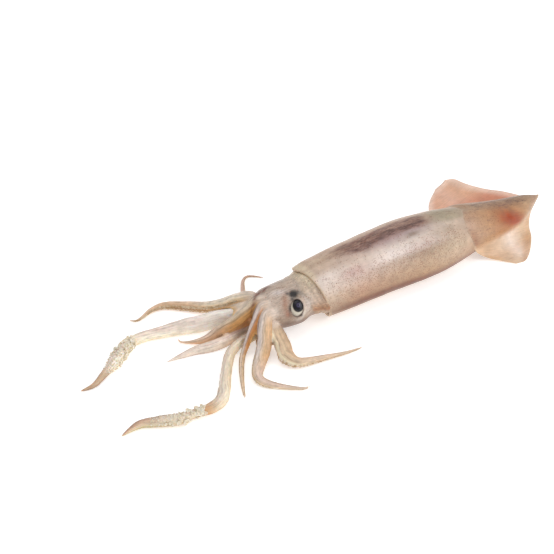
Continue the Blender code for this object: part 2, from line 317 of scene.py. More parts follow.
def rampNode(tree, place, value, low, high):
    # turns low..high into 0..1, smoothly; low above high turns it round
    if low < high:
        return rangeNode(tree, place, value, low, high, 0.0, 1.0, "SMOOTHSTEP")
    return rangeNode(tree, place, value, high, low, 1.0, 0.0, "SMOOTHSTEP")


def noiseNode(tree, place, coords, scale, detail, rough=0.5):
    node = addNode(tree, "ShaderNodeTexNoise", place, Vector=coords, Scale=scale, Detail=detail,
                   Roughness=rough)
    return node.outputs[0]


def attributeNode(tree, place, name, output="Fac"):
    return addNode(tree, "ShaderNodeAttribute", place, attribute_name=name).outputs[output]


def stretched(tree, place, coords, size, shift=0.0):
    # coordinates in which the given size is one unit
    scale = tuple(1 / value for value in size)
    node = addNode(tree, "ShaderNodeMapping", place, Vector=coords, Scale=scale, Location=(shift,) * 3)
    return node.outputs[0]


def newMaterial(name):
    material = bpy.data.materials.new(name)
    material.use_nodes = True
    tree = material.node_tree
    return material, tree, tree.nodes["Principled BSDF"]


def dotLayer(tree, coords, density, spacing, radius, top):
    # round spots in the cells of a Voronoi pattern; density is the share of the cells with one
    cells = addNode(tree, "ShaderNodeTexVoronoi", (-1200, top), Vector=coords, Scale=1 / spacing)
    dot = rampNode(tree, (-980, top), cells.outputs["Distance"], radius, radius * 0.5)
    draw = addNode(tree, "ShaderNodeSeparateColor", (-1000, top - 150), Color=cells.outputs["Color"])
    spare = mathNode(tree, (-860, top - 150), "SUBTRACT", density, draw.outputs[0])
    chosen = rampNode(tree, (-720, top - 150), spare, 0.0, 0.12)
    return mathNode(tree, (-560, top), "MULTIPLY", dot, chosen)


def streakLayer(tree, coords, coverage, size, seed, top):
    # broken streaks along X; they close up where coverage comes near 1
    fibres = noiseNode(tree, (-1300, top), stretched(tree, (-1500, top), coords, size, seed), 1.0, 5.0, 0.75)
    total = mathNode(tree, (-1100, top), "MULTIPLY_ADD", coverage, 0.28, fibres)
    return rampNode(tree, (-900, top), total, 0.62, 0.80)


def overlay(tree, colour, factor, strength, hexText, place):
    # mixes a plain colour over another by factor times strength
    softer = mathNode(tree, (place[0] - 180, place[1] - 180), "MULTIPLY", factor, strength)
    return mixNode(tree, place, softer, colour, (*hexRgb(hexText), 1))


def skinMaterial(name, finish):
    material, tree, shader = newMaterial(name)
    coords = addNode(tree, "ShaderNodeTexCoord", (-1800, 0)).outputs["Object"]
    paint = attributeNode(tree, (-700, 400), "paint", "Color")
    dots = attributeNode(tree, (-1400, -300), "dots")
    streak = attributeNode(tree, (-1400, -900), "streak")

    # cloudy mottling
    clouds = noiseNode(tree, (-1200, 700), coords, 1 / finish["mottleSize"], 6.0, 0.65)
    depth = finish["mottleDepth"]
    shade = rangeNode(tree, (-980, 700), clouds, 0.3, 0.7, 1.0 - depth, 1.0 + depth)
    colour = mixNode(tree, (-500, 500), 1.0, paint, shade, "MULTIPLY")

    # fine fibres along the flesh
    grain = attributeNode(tree, (-1700, 1000), "grain", "Vector")
    comb = stretched(tree, (-1500, 1000), grain, finish["fibreSize"])
    threads = noiseNode(tree, (-1300, 1000), comb, 1.0, 4.0, 0.6)
    depth = finish["fibre"]
    shade = rangeNode(tree, (-1080, 1000), threads, 0.32, 0.68, 1.0 - 1.2 * depth, 1.0 + depth)
    colour = mixNode(tree, (-500, 760), 1.0, colour, shade, "MULTIPLY")

    # broad brown streaks, finer dark ones, then small and large colour spots
    layers = {
        "streak": streakLayer(tree, coords, streak, finish["streakSize"], 1.0, -900),
        "darkStreak": streakLayer(tree, coords, streak, finish["darkStreakSize"], 5.0, -1150),
        "dot": dotLayer(tree, coords, dots, finish["dotSpacing"], finish["dotRadius"], -200),
        "bigDot": dotLayer(tree, coords, dots, finish["bigDotSpacing"], finish["bigDotRadius"], -500),
    }
    for number, (layer, shown) in enumerate(layers.items()):
        place = (-300 + 180 * number, 400)
        colour = overlay(tree, colour, shown, finish[layer + "Strength"], finish[layer + "Colour"], place)

    # moist, slightly uneven surface
    pores = noiseNode(tree, (-700, -1300), coords, finish["poreScale"], 3.0)
    rough = finish["roughness"]
    uneven = rangeNode(tree, (-300, -200), clouds, 0.0, 1.0, rough - 0.08, rough + 0.12)
    relief = addNode(tree, "ShaderNodeBump", (-300, -500), Strength=0.6, Distance=finish["pore"],
                     Height=pores)
    ridges = addNode(tree, "ShaderNodeBump", (-120, -500), Strength=0.6, Distance=finish["fibreDepth"],
                     Height=threads, Normal=relief.outputs[0])
    setInputs(tree, shader, {
        "Base Color": colour,
        "Roughness": uneven,
        "Normal": ridges.outputs[0],
        "Coat Weight": finish["wetCoat"],
        "Coat Roughness": finish["coatRoughness"],
        "IOR": 1.4,
        "Subsurface Weight": finish["fleshGlow"],
        "Subsurface Radius": (1.0, 0.55, 0.35),
        "Subsurface Scale": finish["glowDepth"],
    })
    return material


# mantle

mantlePlan = {
    "length": 220.0,
    "mouthX": -95.0,
    "mouthSlant": 8.0,
    "slantReach": 0.3,
    "lipTurn": 62.0,            # degrees round to the lobe of the lip, on the far side of the back
    "lipReach": 3.0,
    "lipDroop": 2.2,
    "wall": 2.2,
    # shares of the wall and places past the rim, from inside the mouth outwards round the rim
    "rimSteps": ((1.0, 20.0), (1.0, 8.0), (1.0, 2.5), (0.94, 0.7), (0.75, 0.12), (0.5, -0.05), (0.25, 0.05)),
    "rings": 250,
    "ringPower": 1.08,          # over 1 sets the rings closer at the mouth
    "firstPush": 0.35,
    "sides": 168,
    "sink": 1.0,
    "unevenness": 0.25,
    "unevenSize": 34.0,
    "fullness": 2.8,            # power of the lower half's section, 2 would be an ellipse
    "nearSpread": 3.4,          # how far the slack near side sags out
    # share of the length, half width, height of the back, height of the belly
    "stations": ((0.00, 20.0, 43.5, 0.0), (0.12, 21.8, 45.8, 0.0), (0.36, 23.2, 47.2, 0.0),
                 (0.51, 21.6, 44.0, 0.0), (0.65, 18.6, 37.6, 0.0), (0.77, 15.0, 31.0, 0.0),
                 (0.85, 12.0, 27.2, 1.5), (0.93, 8.0, 24.3, 8.0), (1.00, 1.2, 21.6, 19.2)),
}


def mantleSection(share):
    # half width, half height, middle height and belly height at shares of the length
    halfWidth, back, belly = smoothAt(mantlePlan["stations"], share)
    low = belly - mantlePlan["sink"] * (1.0 - share)
    return halfWidth, (back - low) / 2, (back + low) / 2, belly


def mantleOutline(turns, share):
    # section of size one: round above, fuller below, and the sag of the near side
    full = ease(0.74, 0.60, share)
    lower = 1.0 + (2.0 / mantlePlan["fullness"] - 1.0) * full
    sag = mantlePlan["nearSpread"] * full * bump(0.48, np.where(share < 0.48, 0.14, 0.12), share)
    power = np.where(np.sin(turns) < 0, lower, 1.0)
    across = np.sign(np.cos(turns)) * np.abs(np.cos(turns)) ** power
    high = np.sign(np.sin(turns)) * np.abs(np.sin(turns)) ** power
    return across, high, sag * (across < 0)


def mantleRing(share, inset=0.0, push=0.0):
    # points round the mantle in degrees from the far side over the back to the near side
    turns = np.radians(-90 + 360 * (np.arange(mantlePlan["sides"]) + 0.5) / mantlePlan["sides"])
    halfWidth, halfHeight, middle, belly = mantleSection(share)
    fade = max(0.0, 1.0 - share / mantlePlan["slantReach"]) ** 2
    lobe = mantlePlan["lipReach"] * fade ** 2 * bump(mantlePlan["lipTurn"], 26.0, np.degrees(turns))
    droop = mantlePlan["lipDroop"] * ease(0.035, 0.0, share) * bump(78.0, 40.0, np.degrees(turns))
    x = mantlePlan["mouthX"] + mantlePlan["length"] * share + push
    x = x - mantlePlan["mouthSlant"] * fade * np.sin(turns) - lobe
    across, high, spread = mantleOutline(turns, share)
    y = (halfWidth - inset + spread) * across
    z = np.maximum(middle + (halfHeight - inset) * high, belly + inset) - droop
    return np.stack([np.broadcast_to(x, y.shape), y, z], -1)


def makeMantle(material):
    plan = mantlePlan
    rings = []
    for inset, push in plan["rimSteps"]:
        rings.append(mantleRing(0.0, plan["wall"] * inset, push))
    for index in range(plan["rings"]):
        share = (index / (plan["rings"] - 1)) ** plan["ringPower"]
        rings.append(mantleRing(share, 0.0, plan["firstPush"] if index == 0 else 0.0))
    mesh = tubeMesh("mantleBody", np.array(rings), flip=True)
    points = meshPoints(mesh)
    share = (points[:, 0] - plan["mouthX"]) / plan["length"]
    halfWidth, halfHeight, middle = mantleSection(np.clip(share, 0, 1))[:3]
    turn = np.degrees(np.arctan2((points[:, 2] - middle) / halfHeight, points[:, 1] / halfWidth)) % 360
    outer = np.zeros(len(points), bool)
    outer[len(plan["rimSteps"]) * plan["sides"]:] = True
    wave = ripple(points, plan["unevenSize"], 3) * plan["unevenness"] * outer
    wave = wave * ease(-100, -80, points[:, 0]) * (points[:, 2] > 2.0) * ease(125, 100, points[:, 0])
    away = np.stack([np.zeros(len(points)), np.cos(np.radians(turn)), np.sin(np.radians(turn))], -1)
    points = points - away * np.maximum(0, wave)[:, None] + away * np.minimum(0, wave)[:, None]
    points[:, 2] = np.maximum(points[:, 2], 0.0)
    setMeshPoints(mesh, points)
    paintMantle(mesh, points, share, turn, outer)
    addFlesh("mantleBody", mesh, material, ["mantle"])


# share of the length: degrees down from the middle of the back, colour there; the colours hold painted light:
# a painted highlight band about 40 to 60 degrees down, and painted shade darkening the flank from about 105
# to 126 degrees down, where it turns under
mantleColoursWithLight = (
    (0.03, ((0, "C8B098"), (25, "C4AC9A"), (40, "D7C7BD"), (69, "D9C6B8"), (84, "C8B09A"), (109, "AE927A"),
            (122, "8C6C54"), (150, "C4A890"), (180, "CDB29C"))),
    (0.14, ((0, "C2A48E"), (18, "B8A094"), (38, "CEB8A8"), (53, "CFB8AA"), (62, "D0B9AC"), (88, "BE9A82"),
            (106, "B08A6E"), (115, "876048"), (124, "6E4832"), (150, "C2A288"), (180, "CDB09A"))),
    (0.28, ((0, "C0A08E"), (12, "A98E88"), (23, "AE9490"), (40, "DACAC0"), (54, "E4D6CE"), (64, "C2AC9C"),
            (88, "B89A80"), (106, "B08E72"), (115, "875F46"), (124, "6E452E"), (150, "C2A288"),
            (180, "CDB09A"))),
    (0.41, ((0, "C0A08C"), (12, "AC8F84"), (24, "B29E9C"), (40, "CDBCB0"), (56, "C4AEA4"), (66, "AA927E"),
            (88, "BC9F83"), (107, "B49272"), (116, "8A6248"), (124, "6E452E"), (150, "C2A288"),
            (180, "CDB09A"))),
    (0.54, ((0, "B6A08A"), (14, "BCA896"), (30, "CBB8A8"), (56, "BCA692"), (79, "C2AC92"), (93, "C0A48A"),
            (108, "B09072"), (117, "8E6A50"), (126, "7A5840"), (150, "C2A288"), (180, "CDB09A"))),
    (0.70, ((0, "B09680"), (30, "BA9C86"), (80, "C0A08A"), (110, "B8967E"), (150, "C0A088"),
            (180, "CDB09A"))),
)


def paintMantle(mesh, points, share, turn, outer):
    down = np.abs((turn - 90 + 180) % 360 - 180)
    near = points[:, 1] < 0
    bands = np.stack([colourAt(rows, down) for _, rows in mantleColoursWithLight])
    keys = [place for place, _ in mantleColoursWithLight]
    index = np.clip(np.searchsorted(keys, share) - 1, 0, len(keys) - 2)
    lower = np.array(keys)[index]
    between = np.clip((share - lower) / (np.array(keys)[index + 1] - lower), 0, 1)[:, None]
    every = np.arange(len(points))
    colours = bands[index, every] * (1 - between) + bands[index + 1, every] * between
    # warm tan edge of the back beyond the stripe
    colours = tint(colours, "C8A890", 0.85 * ease(8, 18, down) * ease(70, 45, down) * (~near))
    # pink cloud behind the mouth, greyish green patch before the fins
    pink = spot(share, down, (0.12, 52), (0.05, 9.0)) * near
    colours = tint(colours, "B8908A", 0.55 * pink)
    green = bump(0.56, 0.075, share) * ease(34, 16, down)
    colours = tint(colours, "A2977E", 0.75 * green)
    olive = spot(share, down, (0.385, 30), (0.03, 4.5)) * near
    colours = tint(colours, "84705C", 0.7 * olive)
    brown = spot(share, down, (0.53, 44), (0.05, 10.0)) * near
    colours = tint(colours, "A08872", 0.35 * brown)
    # painted shade: thin orange brown line where the flank turns under
    underShade = bump(122, 6.0, down) * ease(0.03, 0.15, share) * (0.65 + 0.35 * ripple(points, 30.0, 12))
    colours = tint(colours, "7A3C22", 0.75 * underShade)
    # pale yellow lip over the mouth
    front = points[:, 0] - (mantlePlan["mouthX"] - mantlePlan["mouthSlant"] * np.sin(np.radians(turn)))
    colours = tint(colours, "DCC9AC", 0.8 * ease(6.0, 1.0, front) * ease(50, 22, down))
    colours = tint(colours, "CBB192", 0.6 * ease(2.2, 0.4, front) * ease(22, 50, down))
    colours = tint(colours, "D8BEA4", 0.8 * (~outer))
    # dark stripe, a little to the near side, broken at its edges
    across = np.where(near, down, -down) - 4.0 - 4.0 * ripple(points, 24.0, 13)
    width = 15.0 * ease(-0.02, 0.18, share) + 4.0
    stripe = ease(width + 3.0, 0.55 * width, np.abs(across)) * ease(0.52, 0.44, share)
    stripe = stripe * (0.35 + 0.65 * ease(0.04, 0.15, share))
    blotches = 0.72 + 0.34 * ripple(points * [0.45, 1.3, 1.0], 5.0, 14) + 0.2 * ripple(points, 2.4, 15)
    worn = 1.0 - 0.46 * bump(0.36, 0.05, share) + 0.45 * bump(0.21, 0.07, share)
    worn = worn + 0.3 * bump(0.43, 0.03, share)
    colours = tint(colours, "845A4C", np.clip(0.72 * stripe * blotches * worn, 0, 0.92) * outer)
    edge = bump(9.0, 6.0, across) * ease(0.12, 0.18, share) * (0.4 + 0.6 * ease(0.34, 0.27, share))
    edge = edge * ease(0.48, 0.44, share)
    edge = edge * np.clip(0.5 + 0.8 * ripple(points * [0.4, 1.4, 1.0], 5.0, 16), 0, 1)
    colours = tint(colours, "5C4242", 0.75 * edge * outer)
    core = ease(7, 1, np.abs(across - 4)) * ease(0.26, 0.34, share) * ease(0.48, 0.44, share)
    faint = 0.42 * ease(11, 3, np.abs(across + 3)) * ease(0.42, 0.5, share)
    stripe = np.maximum(np.maximum(0.62 * stripe + 0.3 * core, faint), 0) * outer
    density = 0.45 + 0.60 * ease(34, 50, down) * ease(0.02, 0.1, share) * ease(118, 104, down)
    density = density + 0.25 * ease(0.3, 0.42, share) * ease(60, 76, down)
    density = density + 0.25 * ripple(points, 16.0, 5)
    density = density * ease(40, 54, down + 20 * ripple(points, 22.0, 6)) + 0.25
    density = density * ease(0.62, 0.55, share) * ease(126, 118, down) * outer
    colours = colours * (1 + 0.05 * ripple(points, 12.0, 8)[:, None])
    setPaint(mesh, colours, density, stripe, points)


# fins

finPlan = {
    "columns": 74,              # in each flap
    "rows": 84,
    "lift": 0.12,               # over the mantle
    "sink": 0.55,               # of the front margin into it
    "thickness": (1.5, 0.16),   # at the ridge, at the margins
    "wrapSteps": 40,
    "flareSteps": 24,
    "waves": ((0.55, 6.5), (0.45, 5.2)),    # share and length of the waves along and across
    "marginLift": 0.9,
    "marginCurl": 1.6,
    "leftLeave": -18.0,
    "rightLeave": 15.0,
    "leftLevel": 0.15,
    "rightLevels": ((60.0, 12.0), (115.0, 18.5)),
    "leftSpan": 61.0,
    "leftFront": ((0, 46), (8, 40), (16, 37), (30, 41), (40, 48), (48, 57), (55, 64.5), (61, 71)),
    "leftRear": ((0, 126.5), (8, 118), (16, 112), (24, 108.5), (34, 104.5), (43, 98), (50, 92), (57, 85),
                 (61, 80)),
    "rightSpan": 71.0,
    "rightFront": ((0, 46), (9, 40), (18, 37), (34, 40), (48, 46), (58, 53), (65, 61), (71, 73)),
    "rightRear": ((0, 126.5), (11, 118), (25, 109), (42, 99.5), (56, 93), (66, 91), (71, 85)),
}


def flapPath(x, side):
    # section of a flap at x: points from the ridge outwards, and where it leaves the mantle
    plan = finPlan
    leave = plan["leftLeave"] if side < 0 else plan["rightLeave"]
    level = plan["leftLevel"] if side < 0 else float(smoothAt(plan["rightLevels"], x)[0])
    share = min(1.0, (x - mantlePlan["mouthX"]) / mantlePlan["length"])
    halfWidth, halfHeight, middle = mantleSection(np.array(share))[:3]
    turns = np.radians(np.linspace(90, leave, plan["wrapSteps"] + 1))
    across, high = mantleOutline(turns, share)[:2]
    sag = mantleOutline(np.pi - turns, share)[2] if side < 0 else 0.0
    y = side * (halfWidth + plan["lift"] + sag) * across
    z = middle + (halfHeight + plan["lift"]) * high
    wrap = np.stack([y, z], -1)
    startY, startZ = wrap[-1]
    run = max(6.0, 0.9 * (startZ - level))
    shares = np.arange(1, plan["flareSteps"] + 1) / plan["flareSteps"]
    flare = np.stack([startY + side * run * shares ** 1.4, level + (startZ - level) * (1 - shares) ** 2], -1)
    path = np.concatenate([wrap, flare, [[flare[-1][0] + side * 60.0, level]]])
    reach = lengthsAlong(path)
    return path, reach, reach[plan["wrapSteps"]]


def flapGrid(side):
    # columns of points from the ridge to the wing tip; also x, distance and distance past the mantle
    plan = finPlan
    span = plan["leftSpan"] if side < 0 else plan["rightSpan"]
    front = plan["leftFront"] if side < 0 else plan["rightFront"]
    rear = plan["leftRear"] if side < 0 else plan["rightRear"]
    grid = []
    facts = []
    for column in range(plan["columns"] + 1):
        distance = span * column / plan["columns"]
        start = float(smoothAt(front, distance)[0])
        end = float(smoothAt(rear, distance)[0])
        line = []
        fact = []
        for row in range(plan["rows"]):
            across = row / (plan["rows"] - 1)
            x = start + (end - start) * across
            path, reach, wrapEnd = flapPath(x, side)
            y = np.interp(distance, reach, path[:, 0])
            z = np.interp(distance, reach, path[:, 1])
            line.append((x, y, z))
            edge = min((x - start), (end - x), (span - distance) * 1.2)
            fact.append((side, x, distance, distance - wrapEnd, edge, across))
        grid.append(line)
        facts.append(fact)
    return np.array(grid, float), np.array(facts, float)


def finWave(facts):
    # lifts the free margins in low waves
    side, x, distance, past, edge, across = [facts[..., i] for i in range(6)]
    free = ease(2, 16, past)
    (alongShare, alongLength), (acrossShare, acrossLength) = finPlan["waves"]
    wave = alongShare * np.sin(x / alongLength + side)
    wave = wave + acrossShare * np.sin(distance / acrossLength + 1.3 + side * 2)
    lift = free * ease(9, 0, edge) * (finPlan["marginLift"] + finPlan["marginLift"] * wave)
    curl = free * ease(0.70, 1.0, across) * finPlan["marginCurl"]
    return lift + curl


def makeFins(material):
    leftGrid, leftFacts = flapGrid(-1)
    rightGrid, rightFacts = flapGrid(1)
    base = np.concatenate([leftGrid[:0:-1], rightGrid])
    facts = np.concatenate([leftFacts[:0:-1], rightFacts])
    lift = finWave(facts)
    base[..., 2] += np.where(facts[..., 0] < 0, lift, lift * 0.8)
    normal = unit(np.cross(np.gradient(base, axis=1), np.gradient(base, axis=0)))
    normal = np.where(normal[..., 2:3] < -0.2, -normal, normal)
    side = facts[..., 0:1]
    outward = np.concatenate([np.zeros_like(side), side, np.full_like(side, 0.6)], -1)
    normal = np.where((normal * outward).sum(-1, keepdims=True) < 0, -normal, normal)
    ridge, margin = finPlan["thickness"]
    thick = margin + (ridge - margin) * ease(0.0, 12.0, facts[..., 4]) * ease(34, -4, facts[..., 3])
    # the front margin grows out of the mantle's skin
    sunk = finPlan["sink"] * ease(7.0, 0.0, facts[..., 5] * 60.0) * ease(0.0, -5.0, facts[..., 3])
    base = base - normal * sunk[..., None]
    top = base + normal * thick[..., None]
    mesh = closedSheet("finSheet", base, top)
    allFacts = np.concatenate([facts.reshape(-1, 6), facts.reshape(-1, 6)])
    points = meshPoints(mesh)
    points[:, 2] = np.maximum(points[:, 2], 0.02)
    setMeshPoints(mesh, points)
    paintFins(mesh, points, allFacts)
    addFlesh("finSheet", mesh, material, ["fins"])


def closedSheet(name, lower, upper):
    # closed mesh between two grids of the same size
    rows, columns = lower.shape[:2]
    count = rows * columns
    points = np.concatenate([lower.reshape(-1, 3), upper.reshape(-1, 3)]) * mm
    faces = []
    for row in range(rows - 1):
        for column in range(columns - 1):
            a = row * columns + column
            face = (a, a + 1, a + columns + 1, a + columns)
            faces.append(face)
            faces.append(tuple(count + i for i in face[::-1]))
    rim = list(range(columns)) + [row * columns + columns - 1 for row in range(1, rows)]
    rim += [(rows - 1) * columns + i for i in range(columns - 2, -1, -1)]
    rim += [row * columns for row in range(rows - 2, 0, -1)]
    for first, second in zip(rim, rim[1:] + rim[:1]):
        faces.append((first, first + count, second + count, second))
    mesh = bpy.data.meshes.new(name)
    mesh.from_pydata(points.tolist(), [], faces)
    faceOutwards(mesh)
    mesh.shade_smooth()
    return mesh


def paintFins(mesh, points, facts):
    side, x, distance, past, edge, across = [facts[:, i] for i in range(6)]
    near = side < 0
    drape = colourAt(((40, "BC9A82"), (60, "B88F6C"), (80, "B0805C"), (100, "BB9068"), (112, "C6A27E"),
                      (120, "BE9E86")), x)
    drape = tint(drape, "9C8672", 0.6 * ease(9, 1, distance))
    drape = tint(drape, "C78A58", 0.6 * ease(14, 26, distance) * ease(62, 80, x) * ease(100, 92, x))
    blob = spot(x, distance, (88, 15.0 + 0.12 * (x - 88)), (9.0, 4.0))
    blob = 1 - np.exp(-3.6 * blob * (1 + 0.25 * ripple(points, 6.0, 22)))
    warm = spot(x, distance, (84, 14.0), (15.0, 8.0))
    drape = tint(drape, "A8622A", 0.6 * warm)
    drape = tint(drape, "A03A00", 0.97 * blob * near + 0.6 * blob * (~near))
    brown = np.clip(0.5 + 0.5 * ripple(points * [0.6, 1.0, 1.0], 6.0, 23), 0, 1)
    drape = tint(drape, "8A6450", 0.5 * brown * ease(66, 84, x) * ease(20, 10, distance))
    front = ease(12, 2, edge) * ease(66, 50, x) * ease(16, 30, distance)
    drape = tint(drape, "9A6340", 0.7 * front)
    drape = tint(drape, "BBA48E", 0.8 * ease(5.0, 0.5, edge) * ease(62, 54, x))
    nearFlap = colourAt(((60, "D9B594"), (74, "DEC3A9"), (84, "F2DECF"), (98, "E0C2A2")), x)
    nearFlap = tint(nearFlap, "CCA484", 0.6 * ease(11, 2, edge) * ease(0.3, 0.7, across))
    farFlap = colourAt(((50, "D9A48C"), (62, "DDAA90"), (74, "DEB09A"), (86, "DBA98C"), (100, "D9A484")), x)
    farFlap = tint(farFlap, "CC8468", 0.8 * ease(30, 12, past))
    farFlap = tint(farFlap, "F0D2C2", 0.7 * ease(9, 1, edge))
    flap = np.where(near[:, None], nearFlap, farFlap)
    loose = ease(-6, 3, past)[:, None]
    colours = drape * (1 - loose) + flap * loose
    cloud = ripple(points, 15.0, 21)
    colours = colours * (1 + 0.06 * cloud[:, None])
    dots = 0.45 * ease(3, -6, past) * ease(105, 60, x)
    streak = 0.52 * ease(6, 1, np.abs(distance - 2.5)) * ease(46, 60, x) * ease(122, 105, x)
    streak = np.maximum(streak, 0.22 * ease(0, -8, past) * ease(122, 90, x)) * (1 - blob)
    grain = np.stack([x, distance, side * 20.0], -1)
    setPaint(mesh, colours, dots, streak, grain)


# head and arms, blended into one skin
headPlan = {
    "rings": 130,
    "sides": 130,
    # x, half width, half height, middle y, middle z
    "stations": ((-84.0, 12.5, 12.0, 0.0, 20.0), (-91.0, 14.8, 15.0, 0.0, 20.0),
                 (-98.0, 16.3, 16.0, 0.0, 19.4), (-104.0, 16.8, 15.6, 0.6, 18.8),
                 (-113.0, 18.8, 16.4, 0.8, 17.8), (-123.0, 18.0, 16.1, 1.3, 17.8),
                 (-131.0, 16.6, 15.0, 2.0, 18.2), (-137.0, 13.6, 12.0, 3.0, 17.8),
                 (-143.0, 9.4, 8.4, 3.4, 16.4), (-147.0, 4.0, 4.0, 3.0, 15.6)),
    "collarReach": 9.0,         # how far before the mantle's rim the skin starts to rise
    "collarGap": 0.12,
    "collarFold": 0.9,
    "flapRise": 3.4,            # small flap over the rim, low on the near side
    "voxel": 0.53,
    "relaxRounds": 26,
    "relaxWeight": 0.10,        # of each round, and how much more it is at the crown
    "relaxAtCrown": 0.45,
}
limbShape = {
    "threeSides": 0.09,         # how far the section is from round, in shares of the radius
    "ridge": 0.07,
    "knots": 0.035,
    "ridgeWidth": 14,           # degrees
    "keelWidth": 18,
    "knotSize": 7.0,
    "tipReach": 0.012,          # share of the length over which the tip is rounded
    "tipFrom": (0.36, 0.62),    # for an arm that gives none of its own
    "lineStrength": 1.6,
    "webHollow": 0.34,          # how far a web's free edge is hollowed out
    "webThickness": 1.5,
}
# steps along and round the limbs
limbDetail = {
    "armRings": 220,
    "armSides": 40,
    "tentacleRings": 480,
    "tentacleSides": 56,
    "webSteps": 200,
    "webRows": 26,
    "webColumns": 16,
    "paintSteps": 140,
    "cupSteps": 900,
    "batch": 20000,             # points measured against a limb at a time
}
eyePlan = {
    "left": Vector((-117.8, -13.0, 24.6)),
    "right": Vector((-117.8, 15.0, 12.5)),
    "leftGaze": Vector((-0.42, -0.68, 0.60)),
    "rightGaze": Vector((-0.30, 0.90, -0.20)),
    "size": (6.6, 8.3, 6.3),    # ball: forwards, upwards, outwards
    "gapPlace": (-0.2, -2.1),   # middle of the gap between the lids: towards the arms, upwards
    "gapSize": (4.3, 6.0),
    "irisPlace": (-1.1, -0.2),
    "irisSize": (4.0, 4.8),
    "lidHeight": 4.9,
    "lidRoll": 0.35,            # how much the lid's edge is rolled up
    "lidReach": (1.75, 1.08),   # sizes of the gap between which the skin rises to the lid
    "gapDepth": 1.5,            # of the skin left under the ball's front, from the ball's middle
    "backDepth": -6.0,          # skin from here to the outer depth belongs to the eye
    "outerDepth": 12.0,
    "colourReach": 2.5,         # iris radii that the eye's colours cover
}
crownPlan = {
    "x": -134.35,
    "y": 1.0,
    "z": 17.8,
    "halfWidth": 11.6,
    "halfHeight": 9.7,
    "inside": -127.0,           # where the arms' roots start inside the head
    "swell": 1.9,               # extra radius of a root
    "swellReach": 0.2,
    "blend": 17.0,              # reach of the smoothing round the crown
}
